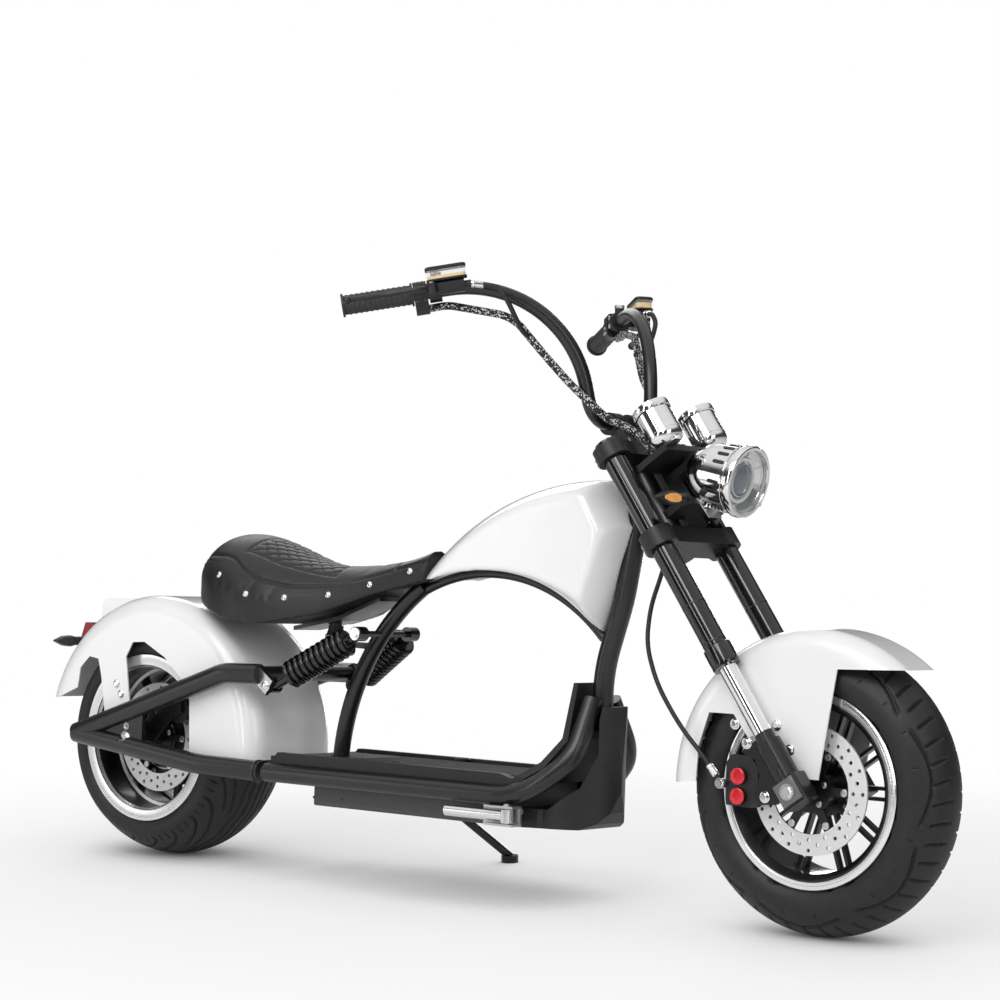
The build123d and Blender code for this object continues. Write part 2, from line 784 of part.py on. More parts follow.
# Fork
fork_tubes = {}
fork_sliders = {}
for name, side in SIDES:
    leg_y = side * leg_half_track
    with BuildPart() as outer_tube:
        with BuildSketch(fork_plane.offset(leg_bottom)):
            with Locations((steer_offset, leg_y)):
                Circle(leg_radius)
        extrude(amount=leg_top - leg_bottom)
        with BuildSketch(fork_plane.offset(leg_bottom - 14)):
            with Locations((steer_offset, leg_y)):
                Circle(collar_radius)
        extrude(amount=collar_length)
        with BuildSketch(fork_plane.offset(leg_bottom - 14)):
            with Locations((steer_offset, leg_y)):
                Circle(slider_radius + running_gap)
        extrude(amount=160, mode=Mode.SUBTRACT)
    fork_tubes[name] = outer_tube
    with BuildPart() as slider:
        with BuildSketch(fork_plane.offset(slider_foot_top - 20)):
            with Locations((steer_offset, leg_y)):
                Circle(slider_radius)
        extrude(amount=leg_bottom + 120 - slider_foot_top + 20)
        with BuildSketch(fork_plane.offset(-6)):
            with Locations((steer_offset, leg_y)):
                Circle(foot_radius)
        extrude(amount=slider_foot_top + 6)
        with BuildSketch(fork_plane.offset(-foot_block_half)):
            with Locations((steer_offset, leg_y)):
                RectangleRounded(2 * foot_radius + 6, 2 * foot_radius - 3, 4)
        extrude(amount=2 * foot_block_half)
        hub_face = front_hub_half + 1 + (disc_thickness if side == RIGHT else 0)
        add(wheel_disc(front_axle_point, *span_y(side, hub_face, leg_half_track), spacer_radius))
        if side == RIGHT:
            lug_face = front_disc_y - caliper_outer
            lug = [
                (-112, 58),
                (-96, 84),
                (-84, 88),
                (-40, 44),
                (-16, -6),
                (-40, -26),
                (-70, -28),
                (-86, -16),
                (-74, 20),
                (-84, 46),
            ]
            add(across([(wheelbase + x, front_radius + z) for x, z in lug], lug_face - 8, lug_face))
        axle_hole = span_y(side, hub_face - 5, leg_half_track + 40)
        add(wheel_disc(front_axle_point, *axle_hole, axle_radius + running_gap), mode=Mode.SUBTRACT)
    fork_sliders[name] = slider

with BuildPart() as front_axle:
    axle_end = leg_half_track + 32
    add(wheel_disc(front_axle_point, -axle_end, axle_end, axle_radius))

leg_spots = [(steer_offset, -leg_half_track), (steer_offset, leg_half_track)]
with BuildPart() as lower_clamp:
    with BuildSketch(fork_plane.offset(clamp_low)):
        with Locations((steer_offset, 0)):
            Rectangle(2 * (leg_radius + clamp_wall) - 14, 2 * leg_half_track)
        with Locations(*leg_spots):
            Circle(leg_radius + clamp_wall)
        Circle(head_tube_radius)
        with Locations(*leg_spots):
            Circle(leg_radius + running_gap, mode=Mode.SUBTRACT)
    extrude(amount=clamp_thickness)
    with BuildSketch(fork_plane.offset(clamp_low)):
        Circle(stem_radius)
    extrude(amount=top_clamp_high + 6 - clamp_low)

with BuildPart() as top_clamp:
    with BuildSketch(fork_plane.offset(top_clamp_low)):
        with Locations((steer_offset, 0)):
            Rectangle(2 * (leg_radius + clamp_wall) - 14, 2 * leg_half_track)
        with Locations(*leg_spots):
            Circle(leg_radius + clamp_wall)
        Circle(head_tube_radius)
        with Locations(*leg_spots):
            Circle(leg_radius + running_gap, mode=Mode.SUBTRACT)
        Circle(stem_radius + running_gap, mode=Mode.SUBTRACT)
    extrude(amount=top_clamp_thickness)
    with BuildSketch(fork_plane.offset(top_clamp_high)):
        with Locations((bar_forward, -riser_half_track), (bar_forward, riser_half_track)):
            Circle(riser_radius)
    extrude(amount=bar_height - top_clamp_high)
    for riser_y in (-riser_half_track, riser_half_track):
        riser = fork_point(bar_forward, riser_y, bar_height)
        add(wheel_disc((riser.X, 0, riser.Z), riser_y - riser_radius - 1, riser_y + riser_radius + 1, bar_radius + 8))
    bar_middle = fork_point(bar_forward, 0, bar_height)
    bore_half = riser_half_track + 32
    bore = wheel_disc((bar_middle.X, 0, bar_middle.Z), -bore_half, bore_half, bar_radius + running_gap)
    add(bore, mode=Mode.SUBTRACT)

bar_table = [
    # forward, across, height in the fork's own plane
    (-150, 383, bar_height + 350),
    (139, 138, bar_height + 239),
    (bar_forward, bar_base_half, bar_height),
]
bar_bends = [214, 50, 50, 214]
bar_points = [fork_point(f, -a, h) for f, a, h in bar_table] + [fork_point(f, a, h) for f, a, h in reversed(bar_table)]
with BuildPart() as handlebar:
    add(tube([tuple(p) for p in bar_points], bar_radius, bar_bends))

bar_end = {"right": bar_points[0], "left": bar_points[-1]}
bar_corner = {"right": bar_points[1], "left": bar_points[-2]}
grips = {}
levers = {}
mirror_mouths = {}
bar_planes = {}
for name, side in SIDES:
    inward = (bar_corner[name] - bar_end[name]).normalized()
    level_forward = Vector(inward.Y, -inward.X, 0).normalized() * -side
    # x points forward from the bar, z runs inward along it, and y times side points up
    bar_planes[name] = Plane(origin=bar_end[name] - inward * grip_cap, x_dir=level_forward, z_dir=inward)


def on_bar(name, forward, up, along):
    """Where a point beside one end of the handlebar lies in the scooter."""
    up_sign = LEFT if name == "left" else RIGHT
    return bar_planes[name].from_local_coords(Vector(forward, up_sign * up, along))


for name, side in SIDES:
    bar_plane = bar_planes[name]
    with BuildPart() as grip:
        with BuildSketch(bar_plane):
            Circle(grip_radius)
        extrude(amount=grip_length)
        for flange_at in (0, grip_length - grip_flange_width):
            with BuildSketch(bar_plane.offset(flange_at)):
                Circle(grip_radius + grip_flange)
            extrude(amount=grip_flange_width)
        with BuildSketch(bar_plane.offset(grip_cap)):
            Circle(bar_radius + running_gap)
        extrude(amount=grip_length, mode=Mode.SUBTRACT)
    grips[name] = grip

switch_table = {
    # forward, up, width, height: the housing's middle and size beside the bar
    "left": (1, -2, 42, 48),
    "right": (4, -24, 24, 30),
}
with BuildPart() as switch_pods:
    for name, side in SIDES:
        forward, up, width, height = switch_table[name]
        with BuildSketch(bar_planes[name].offset(grip_length + 1)):
            Circle(switch_collar_radius)
            with Locations((forward, side * up)):
                RectangleRounded(width, height, 8)
            Circle(bar_radius + running_gap, mode=Mode.SUBTRACT)
        extrude(amount=switch_width)

master_from = grip_length + switch_width + 4
with BuildPart() as master_cylinders:
    for name, side in SIDES:
        bar_plane = bar_planes[name]
        with BuildSketch(bar_plane.offset(master_from)):
            Circle(master_clamp_radius)
            with Locations((master_forward / 2, 0)):
                Rectangle(master_forward, 2 * master_clamp_radius - 18)
        extrude(amount=master_clamp_width)
        with BuildSketch(bar_plane.offset(master_from - master_pivot_reach)):
            with Locations((master_forward, 0)):
                RectangleRounded(24, 24, 6)
        extrude(amount=master_length)
        with BuildSketch(bar_plane.offset(master_from - master_pivot_reach + master_length)):
            with Locations((master_forward, 0)):
                Circle(7)
        extrude(amount=12)
        mirror_base = on_bar(name, 0, 0, master_from + master_clamp_width / 2)
        mirror_plane = Plane(origin=mirror_base, z_dir=(0, 0, 1))
        with BuildSketch(mirror_plane.offset(mirror_boss_top - mirror_hole_depth - 4)):
            Circle(mirror_boss_radius)
        extrude(amount=mirror_hole_depth + 4)
        with BuildSketch(mirror_plane.offset(mirror_boss_top - mirror_hole_depth)):
            Circle(mirror_hole_radius)
        extrude(amount=mirror_hole_depth, mode=Mode.SUBTRACT)
        mirror_mouths[name] = mirror_base + Vector(0, 0, mirror_boss_top)
        with BuildSketch(bar_plane.offset(master_from - master_pivot_reach - 1)):
            Circle(bar_radius + running_gap)
        extrude(amount=master_length + 2, mode=Mode.SUBTRACT)

with BuildPart() as reservoirs:
    for name, side in SIDES:
        lid_plane = Plane(
            origin=on_bar(name, master_forward, 0, master_from - master_pivot_reach + reservoir_length / 2),
            x_dir=bar_planes[name].x_dir,
            z_dir=bar_planes[name].y_dir * side,
        )
        with BuildSketch(lid_plane.offset(12 + seat_gap)):
            RectangleRounded(reservoir_width, reservoir_length, 10)
        extrude(amount=reservoir_height)

for name, side in SIDES:
    along_pivot = master_from - master_pivot_reach + 8
    lever_points = [
        on_bar(name, master_forward + 16, 0, along_pivot),
        on_bar(name, master_forward + 34, 0, along_pivot - 26),
        on_bar(name, master_forward + 24, 0, along_pivot - 84),
        on_bar(name, master_forward + 34, 0, lever_end),
    ]
    with BuildPart() as lever:
        add(tube([tuple(q) for q in lever_points], lever_radius, [18, 60]))
        with Locations(on_bar(name, master_forward + 34, 0, lever_end)):
            Sphere(lever_ball_radius)
        pivot_plane = Plane(
            origin=on_bar(name, master_forward + 18, -9, along_pivot),
            x_dir=bar_planes[name].x_dir,
            z_dir=bar_planes[name].y_dir * side,
        )
        with BuildSketch(pivot_plane):
            Circle(10)
        extrude(amount=18)
        add(master_cylinders.part, mode=Mode.SUBTRACT)
    levers[name] = lever

# Cables from the controls down both handlebar uprights, and the front brake's hose
harness_start = [
    # forward, up, along, beside the bar
    (0, -29, grip_length + switch_width + 1 + seat_gap),
    (0, -28, 186),
]
harness_table = [
    # forward, across, height in the fork's own plane
    (31, 190, bar_height + 212),
    (28, 160, bar_height + 154),
    (28, 136, bar_height + 106),
    (34, 124, bar_height + 60),
    (41, 108, bar_height + 20),
    (38, 76, bar_height - 9),
    (54, 58, bar_height - 34),
    (66, 44, bar_height - 66),
    (66, 42, gauge_low + 9),
]
harnesses = {}
for name, side in SIDES:
    route = [on_bar(name, *row) for row in harness_start]
    route += [fork_point(forward, side * across_y, height) for forward, across_y, height in harness_table]
    with BuildPart() as harness:
        add(cord([tuple(point) for point in route], harness_radius))
        add(handlebar.part, mode=Mode.SUBTRACT)
    harnesses[name] = harness

# Lamps and gauges
lamp_pitch = 12.0
lamp_forward = (cos(radians(lamp_pitch)), 0, -sin(radians(lamp_pitch)))
lamp_front = fork_point(184, 0, top_clamp_low - 154)
lamp_length = 126.0
lamp_radius = 61.0
lamp_bezel_length = 16.0
lamp_back = lamp_front - Vector(*lamp_forward) * lamp_length
with BuildPart() as headlamp:
    with BuildSketch(Plane(origin=lamp_back, x_dir=lamp_forward, z_dir=(0, -1, 0))):
        with BuildLine():
            Line((0, 0), (0, 17))
            ThreePointArc((0, 17), (24, 43), (62, 56))
            Line((62, 56), (lamp_length - lamp_bezel_length, lamp_radius - 1))
            Polyline(
                (lamp_length - lamp_bezel_length, lamp_radius - 1),
                (lamp_length - lamp_bezel_length, lamp_radius + 2),
                (lamp_length - 4, lamp_radius + 2),
                (lamp_length - 4, lamp_radius - 5),
                (lamp_length - 12, lamp_radius - 5),
                (lamp_length - 40, 16),
                (lamp_length - 40, 0),
                (0, 0),
            )
        make_face()
    revolve(axis=Axis(lamp_front, lamp_forward))

lens_rim = lamp_radius - 5 - seat_gap
lens_bulge = 10.0
lens_sphere = (lens_rim**2 + lens_bulge**2) / (2 * lens_bulge)
lens_back = lamp_length - 12 + seat_gap
lens_edge = lamp_length - 5
with BuildPart() as headlamp_lens:
    with BuildSketch(Plane(origin=lamp_back, x_dir=lamp_forward, z_dir=(0, -1, 0))):
        with BuildLine():
            Polyline((lens_edge + lens_bulge, 0), (lens_back, 0), (lens_back, lens_rim), (lens_edge, lens_rim))
            lens_half_way = lens_edge + lens_bulge - lens_sphere + sqrt(lens_sphere**2 - (lens_rim / 2) ** 2)
            ThreePointArc((lens_edge, lens_rim), (lens_half_way, lens_rim / 2), (lens_edge + lens_bulge, 0))
        make_face()
    revolve(axis=Axis(lamp_front, lamp_forward))

gauge_radius = 33.0
gauge_height = 80.0
gauge_table = [
    # forward, across
    (120, -71),
    (120, 71),
]
with BuildPart() as gauge_pods:
    for forward, across_y in gauge_table:
        pod_base = fork_point(forward, across_y, gauge_low)
        with BuildSketch(Plane(origin=pod_base, x_dir=fork_plane.z_dir, z_dir=(0, -1, 0))):
            with BuildLine():
                Line((0, 0), (0, 15))
                ThreePointArc((0, 15), (6, 27), (20, gauge_radius - 1))
                Polyline(
                    (20, gauge_radius - 1),
                    (gauge_height - 12, gauge_radius - 1),
                    (gauge_height - 12, gauge_radius + 1),
                    (gauge_height, gauge_radius + 1),
                    (gauge_height, gauge_radius - 4),
                    (gauge_height - 5, gauge_radius - 4),
                    (gauge_height - 5, 0),
                    (0, 0),
                )
            make_face()
        revolve(axis=Axis(pod_base, fork_plane.z_dir))

bracket_low = clamp_high + seat_gap
signal_height = clamp_high + 23
with BuildPart() as lamp_bracket:
    with BuildSketch(fork_plane.offset(bracket_low)):
        with Locations((48, 0)):
            Rectangle(14, 60)
    extrude(amount=top_clamp_low - 4 - bracket_low)
    with BuildSketch(fork_plane.offset(gauge_low - 33)):
        with Locations((84, 0)):
            Rectangle(80, 40)
    extrude(amount=14)
    with BuildSketch(fork_plane.offset(gauge_low - seat_gap - 12)):
        with Locations((88, 0)):
            Rectangle(72, 190)
    extrude(amount=12)
    with BuildSketch(fork_plane.offset(signal_height - 7)):
        with Locations((70, 0)):
            Rectangle(50, 150)
    extrude(amount=14)
    add(headlamp.part, mode=Mode.SUBTRACT)

with BuildPart() as front_signals:
    for name, side in SIDES:
        hub = fork_point(96, side * 118, signal_height)
        add(wheel_disc((hub.X, 0, hub.Z), side * 118 - 43, side * 118 + 43, 13))
    add(lamp_bracket.part, mode=Mode.SUBTRACT)

with BuildPart() as rear_signals:
    for name, side in SIDES:
        add(wheel_disc((-224, 0, 424), side * 100 - 50, side * 100 + 50, 12))

with BuildPart() as tail_lamp:
    add(across([(-262, 402), (-200, 402), (-176, 456), (-240, 462)], -50 + seat_gap, 50 - seat_gap))
    add(wheel_disc(fender_centre, -60, 60, fender_radius + seat_gap), mode=Mode.SUBTRACT)

# Brakes
caliper_table = [
    # name, wheel centre, disc's outer face, reach outward of the rim's opening, housing's profile from the axle
    (
        "front",
        front_axle_point,
        front_disc_y,
        10,
        [(-144, -34), (-96, -36), (-82, -14), (-82, 30), (-98, 52), (-136, 52), (-146, 38), (-146, -22)],
    ),
    (
        "rear",
        rear_axle,
        rear_disc_y,
        60,
        [(58, 48), (82, 32), (108, 42), (118, 66), (96, 96), (70, 104), (50, 88), (50, 62)],
    ),
]
calipers = {}
for name, centre, disc_y, rim_depth, profile in caliper_table:
    outer_face = disc_y - caliper_outer
    with BuildPart() as caliper:
        housing = [(centre[0] + x, centre[2] + z) for x, z in profile]
        add(across(housing, outer_face, disc_y + disc_thickness + caliper_inner))
        add(wheel_disc(centre, disc_y - 2, disc_y + disc_thickness + 2, disc_radius + 4), mode=Mode.SUBTRACT)
        add(wheel_disc(centre, disc_y - rim_depth, disc_y + 60, 200, 132), mode=Mode.SUBTRACT)
        if name == "rear":
            bracket = [(-16, -14), (14, -18), (66, 40), (100, 56), (98, 84), (66, 98), (44, 60), (-10, 18)]
            bracket_faces = (outer_face - caliper_bracket_thickness, outer_face)
            add(across([(x, centre[2] + z) for x, z in bracket], *bracket_faces))
            add(wheel_disc(centre, outer_face, disc_y - 1, spacer_radius))
            add(wheel_disc(centre, outer_face - 20, disc_y, axle_radius + running_gap), mode=Mode.SUBTRACT)
        for piston_z in (-18, 16):
            if name == "front":
                piston = (centre[0] - 118, 0, centre[2] + piston_z)
                add(wheel_disc(piston, outer_face - 4, outer_face, 14))
    calipers[name] = caliper

with BuildPart() as front_hose:
    hose_table = [
        # X, Y, Z from the lower clamp down to the front caliper
        (1237, -56, 652),
        (1226, -64, 600),
        (1214, -76, 545),
        (1216, -88, 480),
        (1245, -94, 412),
        (1296, -96, 344),
        (1352, -96, 290),
        (1380, -94, 256),
    ]
    add(cord(hose_table, hose_radius))
    add(calipers["front"].part, mode=Mode.SUBTRACT)
    add(lower_clamp.part, mode=Mode.SUBTRACT)

# Seat base, foot pegs and side stand
seat_base_thickness = 8.0
with BuildPart() as seat_base:
    base_top = [(x, low - seat_gap) for x, half, low, shoulder, top in seat_sections if 300 < x < 600]
    base_underside = [(x, z - seat_base_thickness) for x, z in reversed(base_top)]
    add(across(base_top + base_underside, -40, 40))
    with BuildSketch(Plane.XY.offset(seat_mount_foot)):
        with Locations((seat_mount_x, 0)):
            Circle(20)
    with BuildSketch(Plane.XY.offset(seat_mount_foot + 26)):
        with Locations((seat_mount_x, 0)):
            Circle(14)
    loft()
    with BuildSketch(Plane.XY.offset(seat_mount_foot + 26)):
        with Locations((seat_mount_x, 0)):
            Circle(12)
    extrude(amount=10)
    add(seat_tube.part, mode=Mode.SUBTRACT)

peg_height = 162.0
peg_pivot_x = deck_front_x + 1
peg_pin_radius = 4.0
peg_hub_radius = 11.0
peg_half_track = 146.0
peg_radius = 10.0
peg_reach = 138.0
with BuildPart() as peg_brackets:
    for name, side in SIDES:
        plate_y = side * (peg_half_track - 19)
        add(across([(peg_pivot_x - 66, 144), (peg_pivot_x + 18, 144), (peg_pivot_x + 18, 178), (peg_pivot_x - 66, 178)], plate_y - 2, plate_y + 2))
        with BuildSketch(Plane.XY.offset(146)):
            with Locations((peg_pivot_x, side * peg_half_track)):
                Circle(peg_pin_radius)
        extrude(amount=32)
        for plate_z in (146, 178):
            bar_y = side * (peg_half_track - 6)
            channel = (peg_pivot_x - 46, peg_pivot_x + 18)
            bar_profile = [(x, plate_z - 2) for x in channel] + [(x, plate_z + 2) for x in reversed(channel)]
            add(across(bar_profile, bar_y - 14, bar_y + 14))
        add(side_rails[name].part, mode=Mode.SUBTRACT)

foot_pegs = {}
for name, side in SIDES:
    with BuildPart() as peg:
        peg_y = side * peg_half_track
        add(tube([(peg_pivot_x, peg_y, peg_height), (peg_pivot_x - peg_reach, peg_y, peg_height)], peg_radius))
        with BuildSketch(Plane.XY.offset(150)):
            with Locations((peg_pivot_x, peg_y)):
                Circle(peg_hub_radius)
        extrude(amount=24)
        with BuildSketch(Plane.XY.offset(150)):
            with Locations((peg_pivot_x, peg_y)):
                Circle(peg_pin_radius + running_gap)
        extrude(amount=24, mode=Mode.SUBTRACT)
    foot_pegs[name] = peg

rear_crown_radius = (rear_crown_half**2 + rear_crown_drop**2) / (2 * rear_crown_drop)
ground_drop = rear_crown_radius * (1 - cos(radians(lean))) / cos(radians(lean))
ground_plane = Plane(origin=(0, 0, -ground_drop), x_dir=(1, 0, 0), z_dir=(0, -sin(radians(lean)), cos(radians(lean))))
stand_pivot = Vector(600, 128, 146)
stand_foot_thickness = 12.0
stand_foot = ground_plane.from_local_coords(Vector(636, 300, stand_foot_thickness))
stand_reach = stand_foot - stand_pivot
stand_folded = Vector(-1, 0.08, 0.0)
stand_axis = stand_reach.cross(stand_folded).normalized()
stand_plane = Plane(origin=stand_pivot, x_dir=stand_reach.normalized(), z_dir=stand_axis)
stand_leg_radius = 8.0
stand_hub_radius = 14.0
stand_hub_half = 8.0
stand_pin_radius = 6.0
with BuildPart() as side_stand:
    add(tube([tuple(stand_pivot), tuple(stand_foot)], stand_leg_radius))
    with BuildSketch(stand_plane.offset(-stand_hub_half)):
        Circle(stand_hub_radius)
    extrude(amount=2 * stand_hub_half)
    with BuildSketch(stand_plane.offset(-stand_hub_half - 10)):
        Circle(stand_pin_radius + running_gap)
    extrude(amount=2 * stand_hub_half + 20, mode=Mode.SUBTRACT)
    with BuildSketch(ground_plane):
        with Locations((stand_foot.X, ground_plane.to_local_coords(stand_foot).Y)):
            Circle(17)
    extrude(amount=stand_foot_thickness + 2)

with BuildPart() as stand_bracket:
    add(across([(582, 182), (618, 182), (614, 140), (586, 140)], 114, 142))
    with BuildSketch(stand_plane.offset(stand_hub_half + seat_gap)):
        Circle(90)
    extrude(amount=-120, mode=Mode.SUBTRACT)
    with BuildSketch(stand_plane.offset(-stand_hub_half)):
        Circle(stand_pin_radius)
    extrude(amount=2 * stand_hub_half + 4)
    add(side_rails["left"].part, mode=Mode.SUBTRACT)

# Parked on the side stand
pieces = {
    "frame_spine": frame_spine,
    "side_rail_left": side_rails["left"],
    "side_rail_right": side_rails["right"],
    "rear_cross_tube": rear_cross_tube,
    "seat_tube": seat_tube,
    "under_tank_tube": under_tank_tube,
    "deck_mat": deck_mat,
    "battery_box": battery_box,
    "belly_pan": belly_pan,
    "tank": tank,
    "seat_base": seat_base,
    "seat": seat,
    "swingarm_left": swingarms["left"],
    "swingarm_right": swingarms["right"],
    "swingarm_bridge": swingarm_bridge,
    "rear_axle": rear_axle_bar,
    "shock_left": shocks["left"],
    "shock_right": shocks["right"],
    "rear_fender": rear_fender,
    "tail_lamp": tail_lamp,
    "rear_signals": rear_signals,
    "rear_caliper": calipers["rear"],
    "stand_bracket": stand_bracket,
    "peg_brackets": peg_brackets,
    "lower_clamp": lower_clamp,
    "top_clamp": top_clamp,
    "fork_tube_left": fork_tubes["left"],
    "fork_tube_right": fork_tubes["right"],
    "fork_slider_left": fork_sliders["left"],
    "fork_slider_right": fork_sliders["right"],
    "front_axle": front_axle,
    "handlebar": handlebar,
    "grip_left": grips["left"],
    "grip_right": grips["right"],
    "brake_lever_left": levers["left"],
    "brake_lever_right": levers["right"],
    "headlamp": headlamp,
    "headlamp_lens": headlamp_lens,
    "gauge_pods": gauge_pods,
    "lamp_bracket": lamp_bracket,
    "front_signals": front_signals,
    "front_fender": front_fender,
    "front_caliper": calipers["front"],
    "front_hose": front_hose,
    "harness_left": harnesses["left"],
    "harness_right": harnesses["right"],
    "switch_pods": switch_pods,
    "master_cylinders": master_cylinders,
    "reservoirs": reservoirs,
    "front_tyre": front_tyre,
    "front_rim": front_rim,
    "front_disc": front_disc,
    "rear_tyre": rear_tyre,
    "rear_rim": rear_rim,
    "hub_motor": hub_motor,
    "rear_disc": rear_disc,
    "side_stand": side_stand,
    "foot_peg_left": foot_pegs["left"],
    "foot_peg_right": foot_pegs["right"],
}
leaned = {}
for name, piece in pieces.items():
    leaned[name] = piece.part.rotate(Axis.X, -lean)
whole = Compound(children=[Compound(p.solids()) for p in leaned.values()])
box = whole.bounding_box()
shift = Location((-box.center().X, -box.center().Y, -box.min.Z))
os.makedirs("parts", exist_ok=True)
for name, part in leaned.items():
    part = shift * part
    part.label = name
    export_step(part, f"parts/{name}.step")
print("origin shift", shift.position)
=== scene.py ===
import json
import math

import bmesh
import bpy
import numpy as np
from mathutils import Matrix, Vector
from mathutils.bvhtree import BVHTree


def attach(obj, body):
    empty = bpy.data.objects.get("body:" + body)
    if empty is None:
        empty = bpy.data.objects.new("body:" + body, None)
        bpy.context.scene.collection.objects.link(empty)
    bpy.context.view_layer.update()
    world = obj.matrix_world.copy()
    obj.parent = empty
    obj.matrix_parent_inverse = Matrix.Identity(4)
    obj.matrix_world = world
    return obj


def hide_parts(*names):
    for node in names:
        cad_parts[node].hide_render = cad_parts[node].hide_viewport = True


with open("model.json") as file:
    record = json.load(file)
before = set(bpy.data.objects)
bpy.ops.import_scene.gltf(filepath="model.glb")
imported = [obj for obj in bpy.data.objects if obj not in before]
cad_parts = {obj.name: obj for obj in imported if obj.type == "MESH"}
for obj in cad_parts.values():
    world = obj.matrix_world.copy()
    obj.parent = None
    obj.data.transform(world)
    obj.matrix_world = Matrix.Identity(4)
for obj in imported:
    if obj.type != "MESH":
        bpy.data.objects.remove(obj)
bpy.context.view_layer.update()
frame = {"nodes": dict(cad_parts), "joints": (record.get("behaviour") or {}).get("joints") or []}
scene = bpy.context.scene

# design frame
# Points are in the upright scooter's millimetres: rear axle at X = 0, ground at Z = 0.
LEAN, RAKE = math.radians(-4.0), math.radians(35.2)
WHEELBASE, REAR_R, FRONT_R = 1534.0, 238.0, 248.8
AXLE_LEAD = 25.0  # the front axle and the legs lie this far ahead of the steering axis
LEG_Y = 100.0
RIGHT, LEFT = -1, 1
SIDES = ((RIGHT, "right"), (LEFT, "left"))
X, Y, Z = Vector((1, 0, 0)), Vector((0, 1, 0)), Vector((0, 0, 1))
REAR_C, FRONT_C = Vector((0, 0, REAR_R)), Vector((WHEELBASE, 0, FRONT_R))
UP_FORK = Vector((-math.sin(RAKE), 0, math.cos(RAKE)))
FWD_FORK = Vector((math.cos(RAKE), 0, math.sin(RAKE)))


def leaned(p):
    x, y, z = p
    return Vector((x, y * math.cos(LEAN) - z * math.sin(LEAN), y * math.sin(LEAN) + z * math.cos(LEAN))) / 1000


front_axle = next(j for j in frame["joints"] if j["name"] == "front_wheel_spin")
SHIFT = Vector(front_axle["pos_m"]) - leaned(FRONT_C)


def W(p):
    """A point of the upright scooter in the part's own frame, in metres."""
    return leaned(p) + SHIFT


def unleaned(p):
    """A point of the part's own frame as a point of the upright scooter."""
    q = (Vector(p) - SHIFT) * 1000
    c, s = math.cos(LEAN), math.sin(LEAN)
    return Vector((q.x, q.y * c + q.z * s, -q.y * s + q.z * c))


def fork(f, a, h):
    """A point given along the fork: forward, across and up from the foot of the steering axis."""
    ox, oz = WHEELBASE - AXLE_LEAD * math.cos(RAKE), FRONT_R - AXLE_LEAD * math.sin(RAKE)
    x = ox + f * math.cos(RAKE) - h * math.sin(RAKE)
    z = oz + f * math.sin(RAKE) + h * math.cos(RAKE)
    return Vector((x, a, z))


def legs(h):
    """A height on the axes of both legs, with their direction."""
    return [(fork(AXLE_LEAD, side * LEG_Y, h), UP_FORK) for side in (RIGHT, LEFT)]


# material helpers
SOCKETS = {
    "rough": "Roughness", "metal": "Metallic", "normal": "Normal", "base": "Base Color", "alpha": "Alpha",
    "coat": "Coat Weight", "coat_rough": "Coat Roughness", "spec": "Specular IOR Level",
}


def grey(value, blue=0.0005):
    return (value, value, value + blue)


def new_mat(name, base, **look):
    m = bpy.data.materials.new(name)
    m.use_nodes = True
    shader = m.node_tree.nodes["Principled BSDF"]
    shader.inputs["Base Color"].default_value = (*base, 1)
    for key, value in look.items():
        shader.inputs[SOCKETS[key]].default_value = value
    return m, m.node_tree, shader


def feed(nt, shader, **sources):
    for key, source in sources.items():
        nt.links.new(source, shader.inputs[SOCKETS[key]])


def node(nt, kind, inputs=None, **settings):
    """A shader node with its settings, and each input either linked or set."""
    n = nt.nodes.new("ShaderNode" + kind)
    for key, value in settings.items():
        setattr(n, key, value)
    for key, value in (inputs or {}).items():
        if isinstance(value, bpy.types.NodeSocket):
            nt.links.new(value, n.inputs[key])
        else:
            n.inputs[key].default_value = value
    return n


def maths(nt, operation, *inputs, kind="Math", out=0):
    return node(nt, kind, dict(enumerate(inputs)), operation=operation).outputs[out]


def vectors(nt, operation, *inputs, out="Vector"):
    return maths(nt, operation, *inputs, kind="VectorMath", out=out)


def coords(nt):
    return node(nt, "TexCoord").outputs["Object"]


def noise(nt, at, scale, detail=3):
    settings = {"Scale": scale, "Detail": detail, "Roughness": 0.6, "Vector": at}
    return node(nt, "TexNoise", settings).outputs["Fac"]


def ramp(nt, fac, stops):
    r = node(nt, "ValToRGB", {"Fac": fac})
    steps = r.color_ramp.elements
    while len(steps) < len(stops):
        steps.new(0.5)
    for step, (at, colour) in zip(steps, stops):
        step.position = at
        step.color = (*colour, 1)
    return r.outputs["Color"]


def vrange(nt, fac, lo, hi):
    return node(nt, "MapRange", {"To Min": lo, "To Max": hi, "Value": fac}).outputs["Result"]


def mixed(nt, factor, a, b):
    """A colour between two, each a socket or a plain colour."""
    a, b = (c if isinstance(c, bpy.types.NodeSocket) else (*c, 1) for c in (a, b))
    return node(nt, "Mix", {"Factor": factor, "A": a, "B": b}, data_type="RGBA").outputs["Result"]


def bump(nt, shader, height, dist, strength=1.0, under=None):
    b = node(nt, "Bump", {"Distance": dist, "Strength": strength, "Height": height})
    if under is not None:
        nt.links.new(under, b.inputs["Normal"])
    feed(nt, shader, normal=b.outputs["Normal"])
    return b.outputs["Normal"]


